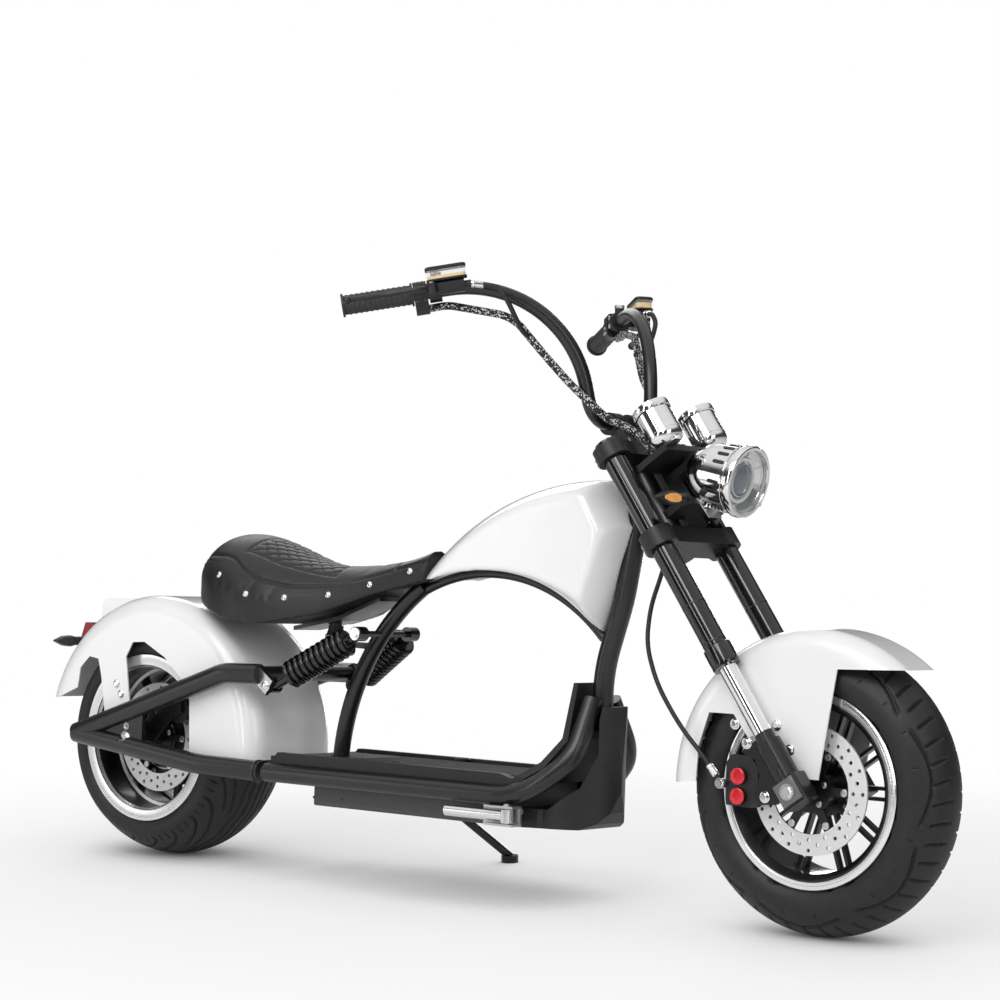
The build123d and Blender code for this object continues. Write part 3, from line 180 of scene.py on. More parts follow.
# plain finishes, varied slightly in colour and roughness
FINISHES = (
    # key, material, colour, roughness, metallic, colour variation, its scale, bump in mm, its scale,
    # roughness variation, coat, coat roughness
    ("white", "gloss_white_paint", grey(0.84, 0.005), 0.24, 0, 0.008, 12, 0.02, 260, 0.03, 0.6, 0.06),
    ("black", "satin_black_paint", grey(0.006), 0.34, 0, 0.15, 40, 0.02, 900, 0.06, 0.3, 0.2),
    ("gloss_black", "gloss_black_paint", grey(0.004), 0.14, 0, 0.15, 40, 0, 400, 0.06, 0.5, 0.1),
    ("cast_black", "cast_black", grey(0.008), 0.42, 0, 0.2, 80, 0.12, 700),
    ("chrome", "chrome", grey(0.82, 0.01), 0.07, 1, 0.02, 60, 0, 400, 0.02),
    ("polished", "polished_aluminium", grey(0.86, 0.01), 0.16, 1, 0.03, 60, 0, 400, 0.04),
    ("satin_metal", "satin_aluminium", grey(0.62, 0.01), 0.34, 1, 0.05, 60, 0.02, 900),
    ("white_metal", "lacquered_rim_lip", grey(0.9, 0.01), 0.2, 0.75, 0.02, 60, 0, 400, 0.04, 0.3),
    ("cast_grey", "cast_grey", grey(0.17, 0.005), 0.45, 0.6, 0.12, 70, 0.1, 800),
    ("bare_plate", "bare_steel_plate", grey(0.55, 0.01), 0.32, 1, 0.06, 60, 0.02, 700),
    ("rim_black", "rim_black", grey(0.004), 0.3, 0, 0.1, 60, 0, 400, 0.06, 0.3, 0.15),
    ("rubber", "black_rubber", grey(0.01), 0.5, 0, 0.2, 50, 0.12, 1100),
    ("grip", "grey_grip_rubber", grey(0.022, 0.001), 0.5, 0, 0.15, 90, 0.08, 1200),
    ("plastic", "grained_black_plastic", grey(0.01), 0.4, 0, 0.15, 60, 0.08, 1300),
    ("white_plastic", "white_plastic", grey(0.8, -0.01), 0.4, 0, 0.02, 60, 0.02, 500),
    ("battery", "dark_grey_box", grey(0.05, 0.002), 0.42, 0, 0.1, 50, 0.05, 1200),
    ("button", "grey_button", grey(0.3, 0.01), 0.5, 0, 0.05, 80),
    ("nose", "smooth_black_vinyl", grey(0.006), 0.34, 0, 0.1, 20, 0.05, 300),
    ("dark_thread", "dark_thread", grey(0.05, 0.002), 0.7, 0, 0.1, 300),
    ("red_lamp", "red_lamp", (0.3, 0.008, 0.008), 0.15, 0, 0.1, 60, 0, 400, 0.06, 0.6),
    ("red_cap", "red_anodised_cap", (0.7, 0.015, 0.03), 0.26, 0.25, 0.1, 60, 0, 400, 0.06, 0.4),
    ("amber", "amber_lens", (0.9, 0.36, 0.03), 0.12, 0, 0.06, 60, 0, 400, 0.06, 0.8),
    ("fluid", "brake_fluid", (0.85, 0.6, 0.24), 0.2, 0, 0.05, 40, 0, 400, 0.03),
    ("reflector", "lamp_reflector", grey(0.9, 0.01), 0.1, 1, 0.02, 30, 0, 400, 0.03),
    ("projector", "projector_glass", (0.07, 0.09, 0.12), 0.04, 0, 0.1, 20, 0, 400, 0.02, 1, 0.02),
    ("dial", "dial_face", grey(0.012, 0.002), 0.35, 0, 0.1, 40),
    ("dial_mark", "dial_marks", grey(0.85, 0), 0.5, 0, 0.02, 40),
    ("needle", "needle_red", (0.7, 0.05, 0.03), 0.4, 0, 0.05, 40),
)


def plain(name, base, rough, metal, var, scale, bump_mm=0, bump_scale=0, rough_var=0.06, coat=0, smear=0.03):
    m, nt, shader = new_mat(name, base, rough=rough, metal=metal, coat=coat, coat_rough=smear)
    at = coords(nt)
    n = noise(nt, at, scale)
    dark, light = ([min(1, c * (1 + v)) for c in base] for v in (-var, var))
    feed(nt, shader, base=ramp(nt, n, [(0.3, dark), (0.7, light)]))
    feed(nt, shader, rough=vrange(nt, n, max(0, rough - rough_var), rough + rough_var))
    if bump_mm:
        bump(nt, shader, noise(nt, at, bump_scale, 4), bump_mm / 1000)
    return m


# special finishes
def glass(name, colour, rough, clear):
    """Clear moulded plastic or glass: mostly see-through with a glossy skin."""
    m, nt, shader = new_mat(name, colour, rough=rough, spec=0.5, alpha=1 - clear)
    feed(nt, shader, rough=vrange(nt, noise(nt, coords(nt), 30), rough, rough + 0.03))
    return m


def leather():
    """A fine grain of cells over slow folds."""
    m, nt, shader = new_mat("black_leather", grey(0.009), spec=0.5)
    at = coords(nt)
    cells = node(nt, "TexVoronoi", {"Scale": 520, "Vector": at}, feature="DISTANCE_TO_EDGE")
    big = noise(nt, at, 14)
    feed(nt, shader, base=ramp(nt, big, [(0.3, grey(0.006, 0.0002)), (0.75, grey(0.014))]))
    feed(nt, shader, rough=vrange(nt, big, 0.34, 0.52))
    grain = bump(nt, shader, cells.outputs["Distance"], 0.0003, 0.6)
    bump(nt, shader, noise(nt, at, 90, 4), 0.0004, 0.5, grain)
    return m


def tread():
    """Rubber with painted shade in the grooves, which the tyre's mesh marks."""
    m, nt, shader = new_mat("tread_rubber", grey(0.026, 0.001), spec=0.45)
    at = coords(nt)
    n = noise(nt, at, 45, 5)
    groove = node(nt, "Attribute", attribute_name="groove").outputs["Fac"]
    skin = ramp(nt, n, [(0.3, grey(0.009)), (0.75, grey(0.017))])
    # the grooves get a painted shade, near black, over the rubber's own tone
    feed(nt, shader, base=mixed(nt, groove, skin, grey(0.002, 0)), rough=vrange(nt, n, 0.42, 0.6))
    bump(nt, shader, noise(nt, at, 900), 0.00008)
    return m


def braid():
    """Black weave with scattered bright threads."""
    m, nt, shader = new_mat("braided_sleeve", grey(0.02, 0.001))
    cells = node(nt, "TexVoronoi", {"Scale": 430, "Vector": coords(nt)})
    chance = node(nt, "SeparateColor", {"Color": cells.outputs["Color"]})
    threads = ramp(nt, chance.outputs["Red"], [(0.74, grey(0.008)), (0.78, grey(0.62, 0))])
    feed(nt, shader, base=threads, rough=vrange(nt, chance.outputs["Green"], 0.35, 0.6))
    bump(nt, shader, cells.outputs["Distance"], 0.0004, 0.8)
    return m


def two_finishes(nt, shader, choice, first, second):
    """Mixes two finishes, each a colour, a roughness and a metallic value."""
    feed(nt, shader, base=mixed(nt, choice, first[0], second[0]))
    feed(nt, shader, rough=vrange(nt, choice, first[1], second[1]))
    feed(nt, shader, metal=vrange(nt, choice, first[2], second[2]))


def slider_finish(split_mm):
    """Chrome above a height up the fork and black below it."""
    m, nt, shader = new_mat("chrome_leg_black_foot", grey(0.005))
    foot = W(fork(0, 0, 0))
    up = (W(fork(0, 0, 1000)) - foot).normalized()
    height = vectors(nt, "DOT_PRODUCT", coords(nt), up, out="Value")
    above = maths(nt, "GREATER_THAN", height, foot.dot(up) + split_mm / 1000)
    two_finishes(nt, shader, above, (grey(0.005), 0.3, 0), (grey(0.86, 0.01), 0.1, 1))
    return m


def disc_finish(name, centre, steel):
    """Black carrier inside a radius about the axle and turned steel outside it."""
    split_mm, turnings = 74, 9000
    m, nt, shader = new_mat(name, grey(0.004))
    off_axle = vectors(nt, "CROSS_PRODUCT", vectors(nt, "SUBTRACT", coords(nt), W(centre)), leaned(Y * 1000))
    radius = vectors(nt, "LENGTH", off_axle, out="Value")
    outside = maths(nt, "GREATER_THAN", radius, split_mm / 1000)
    two_finishes(nt, shader, outside, (grey(0.004), 0.35, 0), steel)
    bump(nt, shader, maths(nt, "SINE", maths(nt, "MULTIPLY", radius, turnings)), 0.00002, 0.5)
    return m


MAT = {key: plain(*row) for key, *row in FINISHES}
MAT["lens"] = glass("clear_lens", (0.5, 0.53, 0.56), 0.02, 0.9)
MAT["pot"] = glass("clear_pot", grey(0.9, -0.02), 0.05, 0.8)
MAT["leather"] = leather()
MAT["tread"] = tread()
MAT["braid"] = braid()
MAT["slider"] = slider_finish(113)
MAT["front_disc"] = disc_finish("front_disc_finish", FRONT_C, (grey(0.78, 0.01), 0.3, 0.35))
MAT["rear_disc"] = disc_finish("rear_disc_finish", REAR_C, (grey(0.7, 0.01), 0.32, 0.35))

# the finish of each CAD node that stays in view
NODE_MATS = {
    "white": "front_fender",
    "black": "frame_spine side_rail_left side_rail_right rear_cross_tube seat_tube under_tank_tube"
    " swingarm_left swingarm_right swingarm_bridge seat_base stand_bracket handlebar lamp_bracket"
    " hub_motor side_stand",
    "gloss_black": "shock_left shock_right fork_tube_left fork_tube_right",
    "cast_black": "lower_clamp top_clamp front_caliper rear_caliper master_cylinders",
    "chrome": "headlamp gauge_pods",
    "satin_metal": "peg_brackets front_axle rear_axle",
    "polished": "foot_peg_left foot_peg_right",
    "rim_black": "front_rim rear_rim",
    "front_disc": "front_disc",
    "rear_disc": "rear_disc",
    "slider": "fork_slider_left fork_slider_right",
    "rubber": "deck_mat front_hose",
    "grip": "grip_left grip_right",
    "braid": "harness_left harness_right",
    "plastic": "belly_pan brake_lever_left brake_lever_right switch_pods",
    "battery": "battery_box",
    "red_lamp": "tail_lamp",
}


def paint(obj, *keys):
    obj.data.materials.clear()
    for key in keys:
        obj.data.materials.append(MAT[key])


for key, names in NODE_MATS.items():
    for name in names.split():
        paint(frame["nodes"][name], key)


# building helpers
def axes(axis):
    """A unit axis and two directions across it."""
    a = Vector(axis).normalized()
    u = a.cross(Z if abs(a.z) < 0.9 else X).normalized()
    return a, u, a.cross(u)


def circle(centre, u, w, radius, count, start=0.0):
    """Points round a centre; radius is a number or a function of the angle."""
    turns = [2 * math.pi * (k + start) / count for k in range(count)]
    reach = radius if callable(radius) else lambda t: radius
    return [centre + (u * math.cos(t) + w * math.sin(t)) * reach(t) for t in turns]


def placed(obj, body, replaced=None):
    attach(obj, body)
    if replaced:
        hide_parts(replaced)


def linked(name, data):
    obj = bpy.data.objects.new(name, data)
    scene.collection.objects.link(obj)
    return obj


def copied(node_name, name):
    """A copy of a CAD node as an object of its own."""
    source = frame["nodes"][node_name]
    obj = linked(name, source.data.copy())
    obj.data.transform(source.matrix_world)
    return obj


def modified(obj, kind, **settings):
    mod = obj.modifiers.new(kind.lower(), kind)
    for key, value in settings.items():
        setattr(mod, key, value)
    return mod


def baked(obj):
    """Applies an object's modifiers and returns its new mesh."""
    now = obj.evaluated_get(bpy.context.evaluated_depsgraph_get())
    mesh = bpy.data.meshes.new_from_object(now)
    obj.modifiers.clear()
    obj.data = mesh
    return mesh


def tree_of(obj):
    bm = bmesh.new()
    bm.from_mesh(obj.data)
    bm.transform(obj.matrix_world)
    tree = BVHTree.FromBMesh(bm)
    bm.free()
    return tree


def clean(me, weld):
    """Turns a mesh's faces outward, after welding points that coincide where that is asked."""
    bm = bmesh.new()
    bm.from_mesh(me)
    if weld:
        bmesh.ops.remove_doubles(bm, verts=bm.verts, dist=1e-6)
    bmesh.ops.recalc_face_normals(bm, faces=bm.faces)
    bm.to_mesh(me)
    bm.free()
    me.shade_smooth()


class Shape:
    """Collects the faces of one piece, in the upright scooter's millimetres."""

    def __init__(self):
        self.v, self.f = [], []

    def rings(self, rings, first=True, last=True):
        """A skin through rings of as many points each, with its first and last end closed or open."""
        base, n = len(self.v), len(rings[0])
        for ring in rings:
            self.v += ring
        for at in range(base, len(self.v) - n, n):
            for k in range(n):
                k2 = (k + 1) % n
                self.f.append((at + k, at + k2, at + n + k2, at + n + k))
        if first:
            self.f.append(tuple(range(base + n - 1, base - 1, -1)))
        if last:
            self.f.append(tuple(range(len(self.v) - n, len(self.v))))

    def lathe(self, origin, axis, profile, segs=32, caps=True):
        """Profile holds places along the axis with their radii."""
        a, u, w = axes(axis)
        rings = [circle(Vector(origin) + a * along, u, w, r, segs) for along, r in profile]
        self.rings(rings, caps and profile[0][1] > 0, caps and profile[-1][1] > 0)

    def prism(self, outline, depth):
        front = [Vector(p) for p in outline]
        self.rings([front, [p + Vector(depth) for p in front]])

    def box(self, centre, x, y, z):
        """x, y and z are the half edges as vectors."""
        self.prism([centre - x - y - z, centre + x - y - z, centre + x + y - z, centre - x + y - z], 2 * z)

    def pipe(self, points, radii, segs=12):
        """A round bar through points, with its rings turned to the path."""
        side, rings, last = None, [], len(points) - 1
        for i, (p, r) in enumerate(zip(points, radii)):
            d = (points[min(i + 1, last)] - points[max(i - 1, 0)]).normalized()
            if side is None:
                side = axes(d)[1]
            side = (side - d * side.dot(d)).normalized()
            rings.append(circle(p, side, d.cross(side), r, segs))
        self.rings(rings)

    def bolt(self, at, axis, r, height=None, socket=True):
        """A button-head bolt on a washer, with a hexagon socket."""
        h = height or r * 0.62
        self.lathe(at, axis, [(-0.5, r * 1.32), (0.8, r * 1.32), (1.1, r * 1.22), (1.1, r)], 28, False)
        self.lathe(at, axis, [(1.1, r), (h * 0.55, r), (h * 0.85, r * 0.86), (h, r * 0.62)], 28, False)
        top = Vector(at) + Vector(axis).normalized() * h
        if socket:
            self.lathe(top, axis, [(0, r * 0.62), (0, r * 0.5)], 28, False)
            self.lathe(top, axis, [(0, r * 0.5), (-h * 0.5, r * 0.46)], 28)
        else:
            self.lathe(top, axis, [(0, r * 0.62), (0.5, r * 0.3), (0.6, 0)], 28, False)

    def hexnut(self, at, axis, r, height):
        """A hexagon nut on a washer."""
        self.lathe(at, axis, [(-0.5, r * 1.4), (1.2, r * 1.4)], 28)
        self.lathe(at, axis, [(1.2, r * 1.1), (height - 1.2, r * 1.1), (height, r * 0.98)], 6)

    def done(self, name, mat, body, slot_name, smooth=32, bevel=0.0, replaced=None):
        """Makes the piece; smooth is the angle up to which edges are shaded as round."""
        me = bpy.data.meshes.new(name)
        me.from_pydata([W(p) for p in self.v], [], self.f)
        clean(me, weld=True)
        me.set_sharp_from_angle(angle=math.radians(smooth))
        obj = linked(name, me)
        paint(obj, mat)
        if bevel:
            limit = math.radians(40)
            modified(obj, "BEVEL", width=bevel / 1000, segments=2, limit_method="ANGLE", angle_limit=limit)
        placed(obj, body, replaced)
        return obj


def turned(name, mat, body, slot_name, places, segs, *profiles, caps=False, **how):
    """A piece of turned profiles at each place, which is an origin and an axis."""
    s = Shape()
    for origin, axis in places:
        for profile in profiles:
            s.lathe(origin, axis, profile, segs, caps)
    return s.done(name, mat, body, slot_name, **how)


# tyres
def smoothstep(a, b, x):
    t = np.clip((x - a) / (b - a), 0, 1)
    return t * t * (3 - 2 * t)


def stripe(d, half, soft):
    return 1 - smoothstep(half - soft, half + soft, abs(d))


def repeat(x, pitch):
    return (x + pitch / 2) % pitch - pitch / 2


def front_pattern(turn, across, r, radius):
    """Slanted cuts, long curved grooves and shoulder sipes."""
    run, total = turn * radius, 2 * math.pi * radius
    groove = np.zeros_like(turn)
    pitch = total / 44
    for side in (-1, 1):
        a = side * across
        slant = 0.16 * (a - 12) + 0.004 * (a - 12) ** 2
        d = repeat(run + slant + (pitch / 2 if side > 0 else 0), pitch)
        inside = smoothstep(11, 15, a) * (1 - smoothstep(44, 50, a))
        groove = np.maximum(groove, stripe(d, 1.0 + 1.5 * smoothstep(12, 34, a), 0.9) * inside)
        long_pitch = total / 7
        u = repeat(run * side + 40, long_pitch) / long_pitch + 0.5
        line = 55.5 - 10 * np.sin(np.pi * u) ** 2 + 3 * u
        inside = smoothstep(0.05, 0.12, u) * (1 - smoothstep(0.86, 0.95, u))
        groove = np.maximum(groove, stripe(a - line, 1.9, 0.9) * inside)
        inside = smoothstep(59, 60.5, a) * (1 - smoothstep(62.5, 64, a)) * (r > radius - 52)
        groove = np.maximum(groove, stripe(repeat(run + 9, total / 22), 0.8, 0.7) * inside)
    return np.clip(groove, 0, 1)


def rear_pattern(turn, across, r, radius):
    """Four wavy rings, two sweeping cuts a pitch and fine shoulder sipes."""
    run, total = turn * radius, 2 * math.pi * radius
    groove = np.zeros_like(turn)
    for ring in (-26, -9, 9, 26):
        groove = np.maximum(groove, stripe(across - ring - 1.6 * np.sin(turn * 9 * 2), 2.0, 1.0))
    pitch = total / 11
    for side in (-1, 1):
        a = side * across
        for n, (start, stop, lift, width) in enumerate(((38, 94, 150, 2.3), (52, 96, 95, 1.7))):
            t = np.clip((a - start) / (stop - start), 0, 1)
            d = repeat(run + lift * (1 - t) ** 1.9 + n * pitch * 0.46, pitch)
            slope = np.sqrt(1 + (1.9 * lift * (1 - t) ** 0.9 / (stop - start)) ** 2)
            inside = smoothstep(start, start + 2, a) * (1 - smoothstep(stop - 1, stop + 2, a))
            groove = np.maximum(groove, stripe(d / slope, width, 0.9) * inside)
        d = repeat(run - 0.35 * (a - 90), total / 66)
        inside = smoothstep(84, 87, a) * (1 - smoothstep(98, 101, a)) * (r > radius - 58)
        groove = np.maximum(groove, stripe(d, 0.9, 0.8) * inside)
    return np.clip(groove, 0, 1)


def arc(p, q, r, n):
    """Points on the arc from p through q to r."""
    (x1, y1), (x2, y2), (x3, y3) = p, q, r
    dd = 2 * (x1 * (y2 - y3) + x2 * (y3 - y1) + x3 * (y1 - y2))
    s1, s2, s3 = x1**2 + y1**2, x2**2 + y2**2, x3**2 + y3**2
    cx = (s1 * (y2 - y3) + s2 * (y3 - y1) + s3 * (y1 - y2)) / dd
    cy = (s1 * (x3 - x2) + s2 * (x1 - x3) + s3 * (x2 - x1)) / dd
    rad = math.hypot(x1 - cx, y1 - cy)
    first, last = math.atan2(y1 - cy, x1 - cx), math.atan2(y3 - cy, x3 - cx)
    span = (last - first + math.pi) % (2 * math.pi) - math.pi
    turns = [first + span * t / n for t in range(n + 1)]
    return [(cx + rad * math.cos(t), cy + rad * math.sin(t)) for t in turns]


def tyre(end, centre, radius, crown_half, crown_drop, widest, bead_half, pattern, ridges):
    """A tyre's skin as a grid round the axle, with its tread pressed in where pattern says."""
    turns, tread_depth, bead_tuck = 760, 4.6, 5
    shoulder, lip, bead = radius - crown_drop, 166.5, 152.7
    wall = arc((-bead_half, lip), (-widest, (shoulder + lip) / 2), (-crown_half, shoulder), 12)
    crown = arc((-crown_half, shoulder), (0, radius), (crown_half, shoulder), 64)
    profile = [(bead_tuck - bead_half, bead), (-bead_half, lip)] + wall[1:] + crown[1:]
    profile += [(-y, r) for y, r in reversed(wall[:-1])] + [(bead_half - bead_tuck, bead)]
    profile = np.array(profile)
    along = np.gradient(profile, axis=0)
    out = np.stack([-along[:, 1], along[:, 0]], 1)
    out /= np.linalg.norm(out, axis=1)[:, None]
    turn, across = np.meshgrid(np.linspace(0, 2 * math.pi, turns, endpoint=False), profile[:, 0], indexing="ij")
    r = np.broadcast_to(profile[:, 1], turn.shape)
    groove = pattern(turn, across, r, radius)
    y, rr = across - out[:, 0] * tread_depth * groove, r - out[:, 1] * tread_depth * groove
    for at, height, half, rise in ridges:
        for edge in (-at, at):
            ridge = np.exp(-((np.hypot(across - edge, r - height) / half) ** 2)) * rise
            y, rr = y + out[:, 0] * ridge, rr + out[:, 1] * ridge
    x, z = centre[0] + rr * np.cos(turn), centre[2] + rr * np.sin(turn)
    c, s = math.cos(LEAN), math.sin(LEAN)
    world = np.stack([x, y * c - z * s, y * s + z * c], -1).reshape(-1, 3) / 1000 + np.array(SHIFT)
    n = len(profile)
    i, j = np.meshgrid(np.arange(turns) * n, np.arange(n), indexing="ij")
    i2, j2 = (i + n) % (turns * n), (j + 1) % n
    quads = np.stack([i + j2, i2 + j2, i2 + j, i + j], -1).reshape(-1, 4)
    me = bpy.data.meshes.new(f"{end}_tyre_skin")
    me.from_pydata(world.tolist(), [], quads.tolist())
    # the groove mask, which the tread material also uses for the painted shade in the grooves
    marks = me.attributes.new("groove", "FLOAT", "POINT")
    marks.data.foreach_set("value", groove.reshape(-1).astype("float32"))
    clean(me, weld=False)
    obj = linked(me.name, me)
    paint(obj, "tread")
    placed(obj, f"{end}_wheel", f"{end}_tyre")


# ridges round the wall: distance from the middle plane, radius, half width, height
FRONT_RIDGES = ((63.5, 196.0, 1.6, 1.1), (58.0, 174.0, 1.6, 1.2))
REAR_RIDGES = ((103.5, 196.0, 1.8, 1.1), (99.0, 174.0, 1.8, 1.3))
tyre("front", FRONT_C, FRONT_R, 60, 37, 66, 53, front_pattern, FRONT_RIDGES)
tyre("rear", REAR_C, REAR_R, 92, 33, 106, 95, rear_pattern, REAR_RIDGES)

# wheels
FRONT_LIP = (
    [
        (54, 152.3), (58.2, 152.6), (59.5, 154), (59.6, 164),
        (59.2, 166.4), (58, 167.6), (55.4, 167.9), (54.4, 166.9),
    ],
    [(59.5, 160), (60.1, 159.4), (60.1, 156.2), (59.5, 155.4)],
    [(58.3, 152.8), (56.5, 149.6), (54.0, 147.2), (51.0, 146.0)],
)
REAR_LIP = [(96.5, 167.8), (101, 168), (101.7, 167.4), (101.8, 149), (101.2, 147), (99.5, 145.9), (94, 142.4)]
REAR_STEP = [(40, 142.2), (38, 136), (36, 135.4), (34, 136), (32, 142.2)]
for side, tag in SIDES:
    front, rear = [(FRONT_C, Y * side)], [(REAR_C, Y * side)]
    turned(f"front_rim_lip_{tag}", "polished", "front_wheel", "polished", front, 128, *FRONT_LIP, smooth=24)
    turned(f"rear_rim_lip_{tag}", "white_metal", "rear_wheel", "polished", rear, 128, REAR_LIP, smooth=24)
    turned(f"rear_rim_step_{tag}", "satin_metal", "rear_wheel", "polished", rear, 128, REAR_STEP, smooth=30)

s = Shape()
for side in (RIGHT, LEFT):
    for at in circle(REAR_C + Y * side * 42, X, Z, 78, 8, 0.5):
        s.bolt(at, Y * side, 5)
    s.lathe(REAR_C, Y * side, [(41.9, 66), (42.8, 66), (42.8, 64), (41.9, 64)], 64, False)
s.done("hub_motor_bolts", "satin_metal", "rear_wheel", "steel")

for tag, centre, face in (("front", FRONT_C, 52), ("rear", REAR_C, 60)):
    s = Shape()
    for at in circle(centre - Y * face, X, Z, 66, 6):
        s.lathe(at, -Y, [(0, 6.4), (1.6, 6.4), (2.0, 5.6), (2.0, 3.2), (1.2, 2.8)], 20)
    for at in circle(centre - Y * face, X, Z, 29, 5, 0.3):
        s.bolt(at, -Y, 4.2)
    s.done(f"{tag}_disc_bolts", "satin_metal", f"{tag}_wheel", "steel")

# bolts and small fittings
BOLT_SETS = (
    # piece, finish, body, slot, sides, distance from the middle plane, radius, places as (x, z)
    (
        "front_fender_bolts", "chrome", "steering", "chrome", (RIGHT, LEFT), 78, 7.2,
        ((1398, 352), (1481, 355), (1508, 315)),
    ),
    ("caliper_bolts", "chrome", "steering", "chrome", (RIGHT,), 94, 7.5, ((1433, 322), (1472, 234))),
    ("rear_fender_bolts", "chrome", "frame", "chrome", (RIGHT, LEFT), 124, 7, ((-63, 343), (-49, 323))),
    ("rear_caliper_bolts", "satin_metal", "frame", "steel", (RIGHT,), 81.5, 6.2, ((75, 312), (98, 322))),
)
for name, mat, body, slot_name, sides, y, r, places in BOLT_SETS:
    s = Shape()
    for x, z in places:
        for side in sides:
            s.bolt((x, side * y, z), Y * side, r)
    s.done(name, mat, body, slot_name)

blocks, front_nuts, rear_nuts, shock_bolts = Shape(), Shape(), Shape(), Shape()
gussets, welds, pan_bolts = Shape(), Shape(), Shape()
for side in (RIGHT, LEFT):
    out = Y * side
    blocks.box(FRONT_C + out * 120, FWD_FORK * 21, UP_FORK * 21, out * 6)
    front_nuts.hexnut(FRONT_C + out * 126, out, 10, 5.5)
    rear_nuts.hexnut(REAR_C + out * 155, out, 10, 4.6)
    rear_nuts.lathe((2, side * 154.6, 262), out, [(0, 7.5), (1.6, 7.5), (1.6, 4.2), (0.4, 4.2)], 24)
    shock_bolts.bolt((366, side * 142, 362), out, 8, socket=False)
    shock_bolts.hexnut((543, side * 89.5, 470), out, 8.5, 6)
    gusset = ((319, 399), (345.5, 399), (383, 372), (366, 345), (331, 373))
    gussets.prism([(x, side * 142.05, z) for x, z in gusset], out * 0.5)
    weld = circle(Vector((346, side * 131, 196)), Y, Z, 20.2, 40)
    for k, p in enumerate(weld):
        t = 2 * math.pi * k / 40
        p.x += 0.5 * math.sin(9 * t) + 0.4 * math.sin(14 * t + 1)
    welds.pipe(weld + weld[:1], [2.2] * 41, 8)
    pan_bolts.bolt((958, side * 95.5, 168), out, 5.5)
    pan_bolts.bolt((966, side * 146, 180), Z, 6.5, socket=False)
blocks.done("front_axle_blocks", "cast_grey", "steering", "frame_black", bevel=1.6)
front_nuts.done("front_axle_nuts", "chrome", "steering", "chrome")
rear_nuts.done("rear_axle_nuts", "chrome", "frame", "steel")
shock_bolts.done("shock_bolts", "chrome", "frame", "chrome")
gussets.done("gusset_faces", "bare_plate", "frame", "steel")
welds.done("swingarm_welds", "black", "frame", "frame_black")
pan_bolts.done("pan_and_peg_bolts", "satin_metal", "frame", "steel")

DECK_CAP = [(0, 15), (3.2, 15), (4.4, 13.6), (4.4, 9), (3.6, 8.4)]
places = [((665, side * 100, 232), Z) for side in (RIGHT, LEFT)]
turned("deck_caps", "plastic", "frame", "plastic_black", places, 32, DECK_CAP, caps=True)
screws = ((471, 155), (542, 156), (800, 156), (930, 157))
places = [((x, side * 108, z), Y * side) for side in (RIGHT, LEFT) for x, z in screws]
SCREW = [(-0.3, 2.6), (0.5, 2.6), (0.7, 2.0)]
turned("battery_screws", "plastic", "frame", "plastic_black", places, 16, SCREW, caps=True)
MOUNT = [(0, 21), (5, 21.5), (8, 20), (24, 14.6), (26, 15), (29, 15), (29.5, 13)]
turned("rubber_mount", "rubber", "frame", "rubber", [((416, 0, 452), Z)], 40, MOUNT, caps=True)
MOUNT_BAND = [(0, 20.6), (2.4, 20.9), (4.6, 19.6)]
turned("rubber_mount_band", "satin_metal", "frame", "steel", [((416, 0, 460), Z)], 40, MOUNT_BAND)

# fork details
CAP = [(0, 21.6), (5, 21.6), (8.2, 19.8), (8.6, 12), (7.6, 11.4), (7.6, 0)]
turned("fork_caps", "gloss_black", "steering", "frame_black", legs(704), 48, CAP, caps=True)
CAP_RING = [(0, 22.1), (3.0, 22.1), (3.4, 21.4)]
turned("fork_cap_rings", "red_cap", "steering", "fluid_clear", legs(704.6), 48, CAP_RING)
COLLAR = [
    (-3, 17.2), (-3, 24.2), (0, 25.3), (4, 25.3), (5, 24.4),
    (7, 24.4), (8, 25.4), (32, 25.4), (35, 25.0), (38, 22.2),
]
RINGS = [[(h, 21.55), (h + 0.8, 21.9), (h + 2.4, 21.9), (h + 3.2, 21.55)] for h in (44, 120)]
turned("fork_collars", "gloss_black", "steering", "frame_black", legs(248), 48, COLLAR, *RINGS, smooth=28)
NUT = [(0, 19), (5, 19), (6.5, 17.6), (6.5, 9), (5, 8.6)]
stem = [(fork(0, 0, 704), UP_FORK)]
turned("stem_nut", "chrome", "steering", "chrome", stem, 6, NUT, caps=True, bevel=0.6)

marks, bolts = Shape(), Shape()
for side in (RIGHT, LEFT):
    centre = fork(AXLE_LEAD, side * 121.2, 64)
    pill = circle(centre, FWD_FORK, UP_FORK, 8.5, 28)
    pill = [p + UP_FORK * (14 if 0 < k <= 14 else -14) for k, p in enumerate(pill)]
    marks.prism(pill, Y * side * 0.9)
    for height in (497.8, 512.2, 685.2, 694.8):
        bolts.bolt(fork(-8.5, side * LEG_Y, height), -FWD_FORK, 4.0)
marks.done("slider_marks", "plastic", "steering", "plastic_black", bevel=0.3)
bolts.done("clamp_bolts", "satin_metal", "steering", "steel")


# controls on the handlebar
def bar_axes(side):
    """The outer end of a grip, with the directions inward, forward and up there."""
    end = fork(-150, side * 383, 1116)
    inward = (fork(139, side * 138, 1005) - end).normalized()
    fwd = Vector((inward.y, -inward.x, 0)).normalized() * -side
    return end - inward * 6, inward, fwd, inward.cross(fwd) * side


def grip_radius(along, t):
    wave = math.sin(along * 2 * math.pi / 9.5 + 1.5 * math.sin(3 * t))
    edge = min(1.0, max(0.0, (along - 6) / 3)) * min(1.0, max(0.0, (122 - along) / 3))
    return 17.25 + 0.95 * edge * max(0.0, wave) ** 0.6


